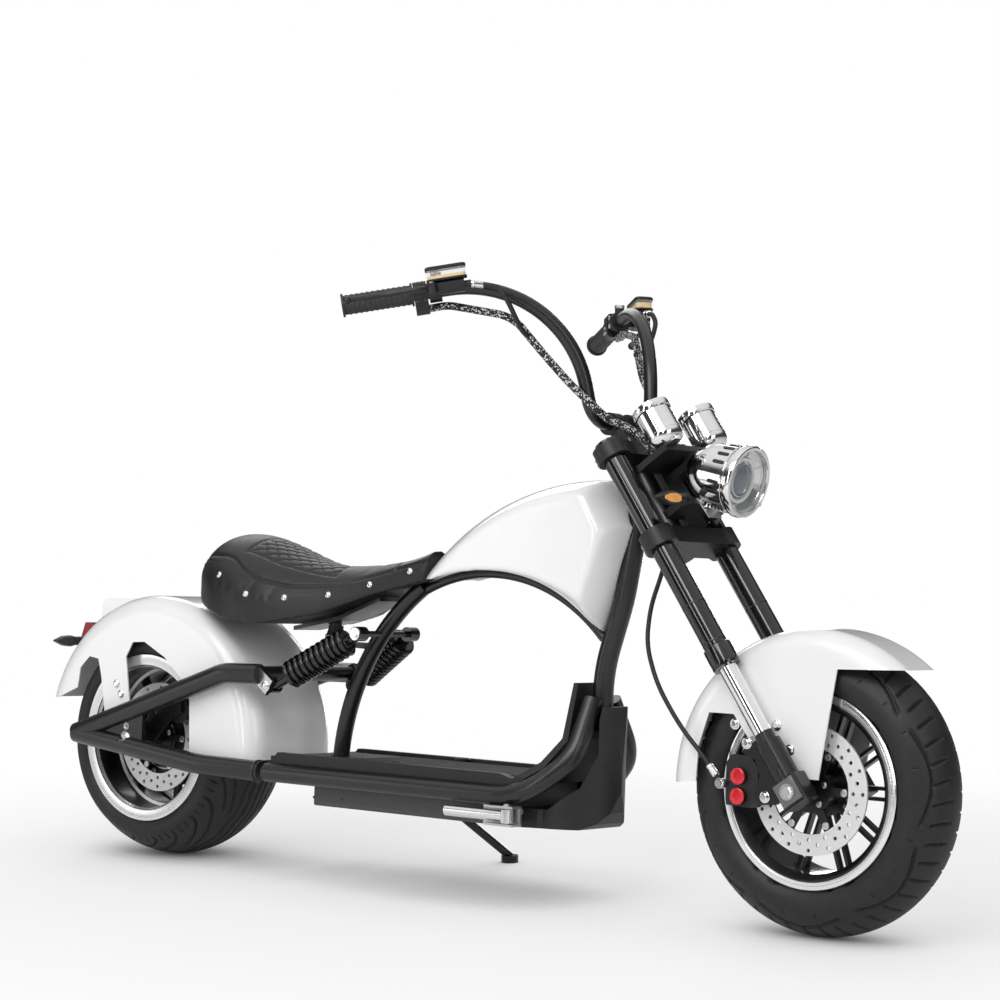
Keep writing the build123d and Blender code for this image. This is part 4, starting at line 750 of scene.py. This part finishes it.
def curve(points, steps=6):
    """Points on a smooth curve through points, by Catmull and Rom's formula."""
    out, last = [], len(points) - 1
    for i in range(last):
        p0, p1, p2, p3 = (points[min(max(k, 0), last)] for k in range(i - 1, i + 3))
        for t in (k / steps for k in range(steps)):
            square, cube = 2 * p0 - 5 * p1 + 4 * p2 - p3, 3 * p1 - 3 * p2 + p3 - p0
            out.append(0.5 * ((2 * p1) + (p2 - p0) * t + square * t * t + cube * t**3))
    return out + [points[-1]]


def pot_piece(name, mat, slot_name, mid, fwd, inward, up, slabs, **how):
    """Rounded plates over a point: from and to height, half width forward and along, corner."""
    s, steps = Shape(), 7
    for lo, hi, half_f, half_a, r in slabs:
        ring = []
        for cf, ca, start in ((1, 1, 0), (-1, 1, 90), (-1, -1, 180), (1, -1, 270)):
            for k in range(steps):
                t = math.radians(start + 90 * k / (steps - 1))
                f, a = cf * (half_f - r) + r * math.cos(t), ca * (half_a - r) + r * math.sin(t)
                ring.append(mid + up * lo + fwd * f + inward * a)
        s.prism(ring, up * (hi - lo))
    s.done(name, mat, "steering", slot_name, **how)


GRIP_END = [(0.4, 0), (0.1, 9), (0.2, 14.5), (1.6, 16.6), (3.4, 17.0), (3.6, 15)]
CRIMP = [(0, 6.4), (3, 7.4), (6, 7.4), (7, 6.0), (9, 6.0), (10, 6.8), (22, 6.8), (23, 5.6)]
# switch pods: reach of the bolts forward, buttons' reach, buttons as (height, half width, half height)
PODS = {
    RIGHT: (20.8, -9.4, ((-31, 4.6, 3), (-21, 3.6, 2.4))),
    LEFT: (22, -21.4, ((-16, 6, 3.2), (-6, 4.4, 2.6))),
}
FLUID_LEVEL = {RIGHT: 21.5, LEFT: 26.5}
mirror_bosses = []
for side, tag in SIDES:
    o, inward, fwd, up = bar_axes(side)

    def on_bar(f, u, along):
        return o + fwd * f + up * u + inward * along

    a, u, w = axes(inward)
    s, waves = Shape(), []
    for along in (4.2 + 0.8 * k for k in range(150)):
        waves.append(circle(o + a * along, u, w, lambda t: grip_radius(along, t), 72))
    s.rings(waves)
    s.done(f"grip_waves_{tag}", "grip", "steering", "rubber", smooth=50)
    turned(f"grip_end_{tag}", "white_plastic", "steering", "rubber", [(o, inward)], 48, GRIP_END)
    pod_front, pod_back, buttons = PODS[side]
    s = Shape()
    for along in (130, 137, 144):
        s.lathe(on_bar(0, 0, along), inward, [(0, 21.05), (0.5, 21.5), (3.5, 21.5), (4, 21.05)], 40, False)
    for height in (-9, 9):
        s.bolt(on_bar(pod_front, height, 141), fwd, 2.6)
    s.done(f"switch_rings_{tag}", "plastic", "steering", "plastic_black")
    s = Shape()
    for height, wide, tall in buttons:
        s.box(on_bar(pod_back, height, 141), inward * wide, up * tall, fwd * 1.8)
    s.done(f"switch_buttons_{tag}", "button", "steering", "plastic_black", bevel=0.6)
    # the brake's bolts, its hose's crimp and a short hose from there into the sleeve
    s = Shape()
    for height in (-8.4, 8.4):
        s.bolt(on_bar(-19.6, height, 167), -fwd, 3.4)
    s.bolt(on_bar(54, 9.2, 162), up, 4.2)
    s.done(f"master_bolts_{tag}", "satin_metal", "steering", "steel")
    crimp = on_bar(36, 0, 231)
    aim = (inward - up * 0.25).normalized()
    turned(f"hose_crimp_{tag}", "chrome", "steering", "chrome", [(crimp, aim)], 28, CRIMP, caps=True)
    start, stop = crimp + aim * 21, fork(29, side * 162, 926)
    bow = [start, start + aim * 26 - up * 4, start + aim * 40 - up * 26]
    bow += [(start + aim * 38 - up * 56 + stop) * 0.5, stop + UP_FORK * 10, stop]
    route = curve(bow)
    s = Shape()
    s.pipe(route, [4.6] * len(route), 14)
    s.done(f"master_hose_{tag}", "rubber", "steering", "rubber")
    # fluid pot: base and lid, screws, clear wall and fluid
    pot = (on_bar(36, 0, 190.5), fwd, inward, up)
    lid = ((12.3, 15.6, 18.2, 36.2, 9.6), (31.6, 36.9, 18.4, 36.4, 9.8), (36.9, 38.2, 16.4, 34.4, 8.6))
    pot_piece(f"pot_lid_{tag}", "plastic", "plastic_black", *pot, lid, bevel=0.5, replaced="reservoirs")
    s = Shape()
    for along in (-28, 28):
        s.bolt(pot[0] + up * 38.1 + inward * along, up, 2.8, height=1.0)
    s.done(f"pot_screws_{tag}", "satin_metal", "steering", "steel")
    pot_piece(f"pot_wall_{tag}", "pot", "fluid_clear", *pot, ((15.6, 31.6, 17.2, 35.2, 9.2),))
    pot_piece(f"pot_fluid_{tag}", "fluid", "fluid_clear", *pot, ((16.2, FLUID_LEVEL[side], 15.6, 33.6, 8.0),))
    mirror_bosses.append((on_bar(0, 0, 167) + Z * 27, Z))
BOSS_RIM = [(0, 9.1), (0.6, 9.8), (6.0, 9.8), (7.0, 9.1), (7.0, 4.6)]
turned("mirror_boss_rims", "satin_metal", "steering", "steel", mirror_bosses, 32, BOSS_RIM)

# headlamp
LAMP_TILT = math.radians(12)
LAMP_D = Vector((math.cos(LAMP_TILT), 0, -math.sin(LAMP_TILT)))
LAMP_B = Vector((1363, 0, 767)) - LAMP_D * 126
LAMP_UP = LAMP_D.cross(Y)


def dome(top, depth, radii):
    """A shallow bowl's profile down to the middle."""
    return [(top - depth * (r / 55.0) ** 2, r) for r in radii]


EYE = [(105.5 + 9 * math.sin(t), 26.6 * math.cos(t)) for t in (math.pi / 2 * k / 10 for k in range(10))]
LAMP_PIECES = (
    # piece, finish, slot, segments, angle of smooth shading, replaced node, profiles
    ("bezel", "chrome", "chrome", 96, 26, None, (
        [
            (109, 61.4), (110, 63.6), (112, 64.4), (121, 64.4),
            (123.4, 63.4), (124.2, 61.6), (123.6, 57.2), (120, 55.9),
        ],
        [(100, 60.4), (100.6, 61.2), (103.4, 61.4), (104, 60.6)],
    )),
    ("reflector", "reflector", "chrome", 96, 32, None, ([
        (114.2, 55.4), (109, 53.4), (108.4, 50.8), (103, 48.6), (102.2, 45.6), (97.4, 42.4),
        (96.6, 38.6), (92.6, 34.8), (91.6, 30.4), (88.6, 25.6), (86.6, 17),
    ],)),
    ("projector", "satin_metal", "chrome", 64, 32, None, (
        [(86.4, 17), (88, 30), (104, 31), (108, 30), (109, 27.6), (106, 26.4)],
    )),
    ("eye", "projector", "clear_lens", 64, 32, None, (EYE + [(114.5, 0)],)),
    ("ring", "white_plastic", "clear_lens", 64, 32, None, ([(105, 34), (108.4, 35), (108.4, 40), (105, 41)],)),
    ("glass", "lens", "clear_lens", 96, 60, "headlamp_lens", (
        [(119.8, 55.4), (121.4, 55.6)] + dome(131, 9.4, (54.6, 52, 48, 43, 37, 30, 23, 16, 8, 0)),
        [(119.4, 55.4), (118.2, 54.6)] + dome(127.4, 8.6, (53, 48, 40, 30, 16, 0)),
    )),
    ("glass_rim", "pot", "clear_lens", 96, 32, None, (
        [
            (117.6, 54.9), (119.6, 55.3), (121.6, 55.4), (122.0, 53.6),
            (120.8, 50.6), (118.6, 50.2), (117.6, 51.6),
        ],
    )),
)
for name, mat, slot_name, segs, smooth, replaced, profiles in LAMP_PIECES:
    how = {"smooth": smooth, "replaced": replaced}
    turned(f"headlamp_{name}", mat, "steering", slot_name, [(LAMP_B, LAMP_D)], segs, *profiles, **how)

s = Shape()
for side in (RIGHT, LEFT):
    for t in (math.radians(-81 + 18 * n) for n in range(10)):
        rad = Y * side * math.cos(t) + LAMP_UP * math.sin(t)
        mid = LAMP_B + LAMP_D * 86 + rad * 58.0
        ring = []
        for q in (2 * math.pi * k / 20 for k in range(20)):
            end = 9 if math.cos(q) > 0 else -9
            point = mid + LAMP_D * (end + 3 * math.cos(q)) + rad * 0.065 * end
            ring.append(point + LAMP_D.cross(rad) * 3.4 * math.sin(q))
        s.prism(ring, rad * 1.2)
s.done("headlamp_slots", "plastic", "steering", "plastic_black", bevel=0.2)
s = Shape()
for n in range(7):
    mid = LAMP_B + LAMP_D * (54 + 7 * n) - LAMP_UP * (53.2 + n * 0.55)
    s.box(mid, LAMP_D * 1.3, Y * 21, LAMP_UP * 4.6)
s.done("headlamp_fins", "chrome", "steering", "chrome", bevel=0.5)

# gauges
GAUGE_BEZEL = (
    [(66, 33.2), (67, 34.8), (70, 35.4), (76, 35.4), (79, 34.8), (80.4, 32.4), (80.0, 29.6), (76, 29.2)],
    [(22, 32.2), (22.6, 32.8), (25, 32.8), (25.6, 32.2)],
)
GAUGE_GLAND = [(0.8, 15), (-1.6, 13), (-2.2, 9), (-2.2, 5), (-0.4, 4.4)]
DIAL = [(75.2, 0), (75.3, 12), (75.4, 29.1)]
GAUGE_GLASS = [(78.4, 29.5), (78.8, 29.6), (79.4, 20), (79.7, 0)]
_, dial_u, dial_w = axes(UP_FORK)


def dial_ray(degrees):
    """A direction on the dial and the one across it."""
    t = math.radians(degrees)
    ray = dial_u * math.cos(t) + dial_w * math.sin(t)
    return ray, ray.cross(UP_FORK)


for side, tag in SIDES:
    base = fork(120, side * 71, 643)
    at, gland = [(base, UP_FORK)], [(base - UP_FORK * 0.6, UP_FORK)]
    turned(f"gauge_bezel_{tag}", "chrome", "steering", "chrome", at, 72, *GAUGE_BEZEL)
    turned(f"gauge_gland_{tag}", "plastic", "steering", "plastic_black", gland, 32, GAUGE_GLAND)
    turned(f"gauge_dial_{tag}", "dial", "steering", "plastic_black", at, 72, DIAL)
    turned(f"gauge_glass_{tag}", "lens", "steering", "clear_lens", at, 72, GAUGE_GLASS)
    s = Shape()
    for k in range(41):
        ray, over = dial_ray(-215 + 250 * k / 40)
        length, half = (5.2, 0.6) if k % 5 == 0 else (2.6, 0.3)
        mid = base + UP_FORK * 75.8 + ray * (27.2 - length / 2)
        s.box(mid, ray * length / 2, over * half, UP_FORK * 0.15)
    s.lathe(base, UP_FORK, [(75.6, 9.6), (75.9, 9.6), (75.9, 9.0), (75.6, 9.0)], 48, False)
    s.done(f"gauge_marks_{tag}", "dial_mark", "steering", "plastic_black")
    s = Shape()
    ray, over = dial_ray(-205)
    hub = base + UP_FORK * 76.4
    s.prism([hub - ray * 6 + over * 1.1, hub + ray * 22, hub - ray * 6 - over * 1.1], UP_FORK * 0.6)
    s.lathe(base, UP_FORK, [(76.2, 3.4), (77.6, 3.2), (78.0, 2.2), (78.0, 0)], 24, False)
    s.done(f"gauge_needle_{tag}", "needle", "steering", "lamp_red")


# signals
def signal(prefix, root, side, total, stalk, half_tall, half_deep, body, replaced, face):
    """A ribbed stalk and an arrow-shaped housing with an amber window on one face."""
    out, ribs, squareness = Y * side, 5, 0.62
    profile = [(0, half_deep * 0.92), (2, half_deep * 0.92)]
    step = (stalk - 4) / ribs
    for k in range(ribs):
        for share, width in ((0.6 / step, 0.62), (0.4, 0.62), (0.55, 0.78), (1, 0.78)):
            profile.append((2 + step * (k + share), half_deep * width))
    s = Shape()
    s.lathe(root, out, profile + [(stalk, half_deep * 0.7)], 28)
    start, length = stalk - 1, total - stalk
    rings = []
    for x, k in ((0, 0.42), (0.1, 0.8), (0.3, 1.0), (0.62, 0.86), (0.9, 0.34), (1.0, 0.08)):
        ring = []
        for t in (2 * math.pi * q / 20 for q in range(20)):
            c, sn = (math.copysign(abs(v) ** squareness, v) for v in (math.cos(t), math.sin(t)))
            deep, tall = half_deep * (0.55 + 0.45 * k) * c, half_tall * k * sn
            ring.append(root + out * (start + length * x) + X * deep + Z * tall)
        rings.append(ring)
    s.rings(rings)
    s.done(prefix + "_housing", "plastic", body, "plastic_black", smooth=40, replaced=replaced)
    edge = ((0.06, 0.34), (0.26, 0.6), (0.62, 0.56), (0.9, 0.2))
    edge += tuple((x, -k) for x, k in reversed(edge))
    near = root + X * face * half_deep * 0.93
    s = Shape()
    s.prism([near + out * (start + length * x) + Z * half_tall * k for x, k in edge], X * face * 1.3)
    s.done(prefix + "_window", "amber", body, "fluid_clear", bevel=0.7)


hub = fork(96, 0, 545)
for side, tag in SIDES:
    root = Vector((hub.x, side * 75.2, hub.z))
    signal(f"front_signal_{tag}", root, side, 85.6, 26, 12.8, 12.6, "steering", "front_signals", 1)
    root = Vector((-224, side * 50.2, 424))
    signal(f"rear_signal_{tag}", root, side, 99.6, 44, 11.8, 11.6, "frame", "rear_signals", -1)

# lamps and brackets
low, high = Vector((-262, 0, 402)), Vector((-240, 0, 462))
up = (high - low).normalized()
back = Vector((-up.z, 0, up.x))
s = Shape()
for side in (RIGHT, LEFT):
    a, b = low + Y * side * 46.5, high + Y * side * 46.5
    s.prism([a + back * 0.2, b + back * 0.2, b + back * 2.2, a + back * 2.2], Y * side * 3)
for height in (0, (high - low).length - 3):
    a, b = (low - Y * 49.4 + up * (height + more) for more in (0, 3))
    s.prism([a + back * 0.2, b + back * 0.2, b + back * 2.2, a + back * 2.2], Y * 98.8)
s.done("tail_lamp_frame", "plastic", "frame", "plastic_black", bevel=0.5)
s = Shape()
s.prism([fork(95.2, a, h) for a, h in ((-30, 508), (10, 508), (16, 548), (-36, 548))], FWD_FORK * 2.4)
for a in (-26, 6):
    s.bolt(fork(97.6, a, 541), FWD_FORK, 4.2)
s.done("lamp_bracket_plate", "bare_plate", "steering", "steel", bevel=0.5)

# brakes
PISTON_CAP = [(0, 13.8), (0.6, 14.2), (2.0, 14.2), (2.6, 13.2), (3.2, 11.0), (3.2, 5.0), (1.8, 4.4)]
caps = [((1416, -92, z), -Y) for z in (231, 265)]
turned("caliper_caps", "red_cap", "steering", "lamp_red", caps, 40, PISTON_CAP, caps=True)
s = Shape()
# the hose's ends: where it starts, where it heads, how far in the fitting sits, the fitting
lower = [(0, 5.6), (1, 6.6), (6, 6.6), (7, 5.8), (9, 5.8), (10, 6.6), (22, 6.6), (23, 5.4)]
upper = [(0, 5.6), (1, 6.6), (5, 6.6), (6, 5.8), (8, 5.8), (9, 6.6), (20, 6.6), (21, 5.4)]
ends = (((1352, -96, 290), (1380, -94, 256), 12, lower), ((1237, -56, 652), (1226, -64, 600), 6, upper))
for end, toward, inset, fitting in ends:
    d = (Vector(toward) - Vector(end)).normalized()
    s.lathe(Vector(end) + d * inset, d, fitting, 28)
s.lathe((1384, -88, 251), -Y, [(0, 9.2), (11, 9.2), (12, 8.4)], 28)
s.hexnut((1384, -99.4, 251), -Y, 6.4, 5.5)
s.done("hose_fittings", "chrome", "steering", "chrome")

# seat: rows along its length, with the half width and the heights of underside and edge
SEAT_X, SEAT_HALF, SEAT_LOW, SEAT_EDGE = np.array([
    (96, 46, 540, 575), (150, 110, 512, 570), (240, 148, 486, 550), (340, 142, 478, 540),
    (450, 104, 500, 545), (560, 66, 542, 572), (672, 40, 574, 596),
]).T
SEAM_X, SEAM_Z = np.array([
    (90, 585), (150, 612), (215, 612), (242, 606), (277, 585),
    (315, 568), (391, 556), (471, 561), (571, 587), (680, 618),
]).T
NOSE_X = 598  # the line across the nose, ahead of which the cover is smooth
QUILT_REAR, QUILT_FRONT, DIAMOND = 256, 462, 30


def seat_half(x):
    return float(np.interp(x, SEAT_X, SEAT_HALF))


def seam_z(x):
    return float(np.interp(x, SEAM_X, SEAM_Z))


def dip(distance, width):
    return math.exp(-((distance / width) ** 2))


def pressed(p):
    """How deep the cover is pressed in at a point by its seams and its quilt."""
    half = seat_half(p.x)
    depth = 0.0
    if abs(p.y) > half * 0.55:
        depth += 3.4 * dip(p.z - seam_z(p.x), 3.0)
    if p.z > seam_z(p.x):
        depth += 2.6 * dip(p.x - NOSE_X, 2.6)
        inset = min((p.x - QUILT_REAR) / 16, (QUILT_FRONT - p.x) / 16, (half * 0.6 - abs(p.y)) / 12)
        if inset > -1.5 and p.z > np.interp(p.x, SEAT_X, SEAT_EDGE) + 8:
            depth += 2.2 * dip(inset, 0.25)
            for q in ((p.x + p.y * 1.15) / DIAMOND, (p.x - p.y * 1.15) / DIAMOND):
                if inset > 0:
                    near = abs(q - round(q)) * DIAMOND / 1.52
                    depth += 2.0 * dip(near, 2.4) * min(1.0, inset * 2)
    return min(depth, 4.4)


def pushed(me, depth):
    """Moves each point of a mesh in along its normal."""
    normals = [v.normal.copy() for v in me.vertices]
    for v, n in zip(me.vertices, normals):
        v.co -= n * (depth(unleaned(v.co)) / 1000)


cushion = copied("seat", "seat_cushion")
modified(cushion, "REMESH", mode="VOXEL", voxel_size=0.005)
baked(cushion)
modified(cushion, "SMOOTH", factor=0.5, iterations=4)
me = baked(cushion)
pushed(me, lambda p: 3)
start = [v.co.copy() for v in me.vertices]
held = cushion.vertex_groups.new(name="held")
for v in me.vertices:
    p = unleaned(v.co)
    held.add([v.index], 1.0 if p.z < np.interp(p.x, SEAT_X, SEAT_LOW) + 9 else 0.0, "REPLACE")
cloth = modified(cushion, "CLOTH")
filling = {
    "quality": 5, "use_pressure": True, "uniform_pressure_force": 4.0, "vertex_group_mass": "held",
    "tension_stiffness": 12, "compression_stiffness": 12, "bending_stiffness": 0.4,
}
for key, value in filling.items():
    setattr(cloth.settings, key, value)
cloth.settings.effector_weights.gravity = 0
cloth.collision_settings.use_collision = False
for moment in range(1, 21):
    scene.frame_set(moment)
me = baked(cushion)
scene.frame_set(1)
most = 0.008
for v, s0 in zip(me.vertices, start):
    rise = v.co - s0
    if rise.length > most:
        v.co = s0 + rise.normalized() * most
modified(cushion, "SMOOTH", factor=0.5, iterations=5)
modified(cushion, "SUBSURF", levels=1, render_levels=1)
me = baked(cushion)
pushed(me, pressed)
me.shade_smooth()
paint(cushion, "leather", "nose")
for p in me.polygons:
    q = unleaned(p.center)
    p.material_index = int(q.x > NOSE_X and q.z > seam_z(q.x))
placed(cushion, "frame", "seat")

seat_tree = tree_of(cushion)


def on_seat(p):
    """The nearest point of the cushion's skin and its outward normal, both in design axes."""
    spot, n, _, _ = seat_tree.find_nearest(W(p))
    q = unleaned(spot)
    return q, (unleaned(spot + n * 0.001) - q).normalized()


STUD = [(0, 6.6), (1.0, 6.6), (2.2, 5.9), (3.4, 4.2), (4.0, 2.0), (4.2, 0)]
studs = ((219, 139, 576), (303, 144, 540), (387, 126, 536), (472, 96, 545), (553, 68, 566), (636, 48, 594))
spots = [on_seat((x, side * y, z)) for side in (RIGHT, LEFT) for x, y, z in studs]
turned("seat_studs", "chrome", "frame", "chrome", [(q - m * 0.6, m) for q, m in spots], 24, STUD)


def stitches(name, route, offsets, gap=7.0, length=4.6):
    """Rows of short threads beside a route along the seam."""
    s = Shape()
    for off in offsets:
        dist = 0.0
        for a, b in zip(route, route[1:]):
            span = (b - a).length
            while dist < span:
                q, m = on_seat(a + (b - a) * (dist / span) + Z * off)
                d = (b - a).normalized()
                d = (d - m * d.dot(m)).normalized()
                low, high = m * -0.4, m * 0.5
                thread = [q - d * length / 2 + low, q - d * length / 4 + high, q + d * length / 4 + high]
                s.pipe(thread + [q + d * length / 2 + low], [0.45, 0.6, 0.6, 0.45], 6)
                dist += gap
            dist -= span
    s.done(name, "dark_thread", "frame", "leather_black", smooth=80)


for side, tag in SIDES:
    route = [Vector((x, side * seat_half(x), seam_z(x))) for x in range(110, 672, 12)]
    stitches(f"seat_stitches_{tag}", route, (-6.5, 6.5))

# tank: rounder than the CAD's facets, apart from where it lies close to a tube
tank = copied("tank", "tank_skin")
modified(tank, "REMESH", mode="VOXEL", voxel_size=0.004)
before = [v.co.copy() for v in baked(tank).vertices]
modified(tank, "SMOOTH", factor=0.5, iterations=45)
me = baked(tank)
tubes = [tree_of(frame["nodes"][name]) for name in ("under_tank_tube", "frame_spine", "seat_tube")]
for v, was in zip(me.vertices, before):
    near_tube = min(tree.find_nearest(was)[3] for tree in tubes)
    v.co = was.lerp(v.co, min(1.0, max(0.0, (near_tube - 0.004) / 0.014)))
me.shade_smooth()
paint(tank, "white")
placed(tank, "frame", "tank")

# rear fender: two of the CAD's cuts leave a spike, 3 mm wide, below the edge, whose tip is drawn up
fender = copied("rear_fender", "rear_fender_skin")
for v in fender.data.vertices:
    q = unleaned(v.co)
    if q.x < -176 and q.z < 300:
        v.co = W((-178.5, q.y, 331))
fender.data.update()
paint(fender, "white")
placed(fender, "frame", "rear_fender")

# floor: pale, with a contact shadow, partly cast by the lights and partly painted from ambient occlusion into
# the glow that the camera sees, which fades to white away from the scooter
FLOOR = 12
floor_mesh = bpy.data.meshes.new("floor")
corners = [(-FLOOR, -FLOOR, 0), (FLOOR, -FLOOR, 0), (FLOOR, FLOOR, 0), (-FLOOR, FLOOR, 0)]
floor_mesh.from_pydata(corners, [], [(0, 1, 2, 3)])
floor = linked("floor", floor_mesh)
m, nt, shader = new_mat("pale_floor", grey(0.9, 0), rough=0.75, spec=0.15)
# ambient occlusion, ramped into a painted contact shadow in the glow that the camera sees
near = node(nt, "AmbientOcclusion", {"Distance": 0.3}, samples=16)
shades = [(0.0, grey(0.02, 0)), (0.4, grey(0.42, 0.005)), (0.7, grey(0.9, 0)), (1.0, grey(1, 0))]
painted_shadow_glow = node(nt, "Emission", {"Color": ramp(nt, near.outputs["AO"], shades)})
away = vectors(nt, "LENGTH", node(nt, "NewGeometry").outputs["Position"], out="Value")
limits = {"From Min": 0.9, "From Max": 2.1, "To Min": 0.6, "To Max": 1.0, "Value": away}
fade = node(nt, "MapRange", limits, interpolation_type="SMOOTHSTEP")
seen = maths(nt, "MULTIPLY", node(nt, "LightPath").outputs["Is Camera Ray"], fade.outputs["Result"])
both = node(nt, "MixShader", {0: seen, 1: shader.outputs["BSDF"], 2: painted_shadow_glow.outputs["Emission"]})
nt.links.new(both.outputs["Shader"], nt.nodes["Material Output"].inputs["Surface"])
floor_mesh.materials.append(m)

# world: white to the camera, and a studio of bright and dark bands to reflections
world = bpy.data.worlds.new("studio")
scene.world = world
world.use_nodes = True
nt = world.node_tree
rays = node(nt, "LightPath").outputs
rise = node(nt, "SeparateXYZ", {0: node(nt, "TexCoord").outputs["Generated"]}).outputs["Z"]
height = node(nt, "MapRange", {"From Min": -1.0, "Value": rise}).outputs["Result"]
bands = [
    (0.0, 0.7), (0.46, 0.7), (0.5, 0.3), (0.53, 0.07),
    (0.66, 0.05), (0.74, 0.12), (0.82, 0.75), (1.0, 0.95),
]
tone = ramp(nt, height, [(at, grey(g, 0)) for at, g in bands])
kinds = node(nt, "Mix", {"Factor": rays["Is Glossy Ray"], "A": 0.46, "B": tone})
direct = maths(nt, "MAXIMUM", rays["Is Camera Ray"], rays["Is Transmission Ray"])
last = node(nt, "Mix", {"Factor": direct, "A": kinds.outputs["Result"], "B": 1.0})
background = nt.nodes["Background"]
background.inputs["Color"].default_value = (1, 1, 1, 1)
nt.links.new(last.outputs["Result"], background.inputs["Strength"])

# lights: name, place, target, size, power
LIGHTS = (
    ("key", (0.4, -3.0, 3.6), (0, 0, 0.5), (3.0, 2.0), 62),
    ("front_fill", (3.6, -1.6, 1.8), (0.2, 0, 0.5), (1.6, 2.2), 20),
    ("rear_rim", (-2.6, 2.6, 2.6), (0, 0, 0.5), (2.4, 1.6), 28),
    ("low_side", (-2.4, -2.4, 1.0), (-0.2, 0, 0.4), (1.4, 1.4), 9),
    ("strip_front", (1.85, -3.5, 3.0), (0.4, 0, 0.6), (0.3, 2.6), 20),
    ("strip_side", (-0.4, -4.2, 1.6), (0.3, 0, 0.6), (0.3, 2.4), 18),
    ("strip_back", (-1.7, 3.9, 1.0), (0.3, 0, 0.6), (0.3, 2.2), 22),
)
for name, place, target, size, power in LIGHTS:
    light = bpy.data.lights.new(name, "AREA")
    light.shape = "RECTANGLE"
    light.size, light.size_y = size
    light.energy = power
    obj = linked(name, light)
    obj.location = place
    obj.rotation_euler = (Vector(target) - Vector(place)).to_track_quat("-Z", "Y").to_euler()

# camera
yaw, pitch, roll = (math.radians(angle) for angle in (127.939, 1.46, -0.441))
focal_px, frame_px, sensor_mm = 2595.8, 1000, 36
ahead = Vector((math.cos(yaw) * math.cos(pitch), math.sin(yaw) * math.cos(pitch), -math.sin(pitch)))
right = ahead.cross(Z).normalized()
up = right.cross(ahead)
turned_right = math.cos(roll) * right + math.sin(roll) * up
turned_up = -math.sin(roll) * right + math.cos(roll) * up
cam_data = bpy.data.cameras.new("camera")
cam_data.sensor_width = sensor_mm
cam_data.lens = focal_px * sensor_mm / frame_px
cam_data.clip_end = 60
camera = linked("camera", cam_data)
stand_point = Vector((3.7973, -3.7779, 0.8539)) + SHIFT
rotation = Matrix((turned_right, turned_up, -ahead)).transposed().to_4x4()
camera.matrix_world = Matrix.Translation(stand_point) @ rotation
scene.camera = camera
scene.view_settings.view_transform = "Standard"
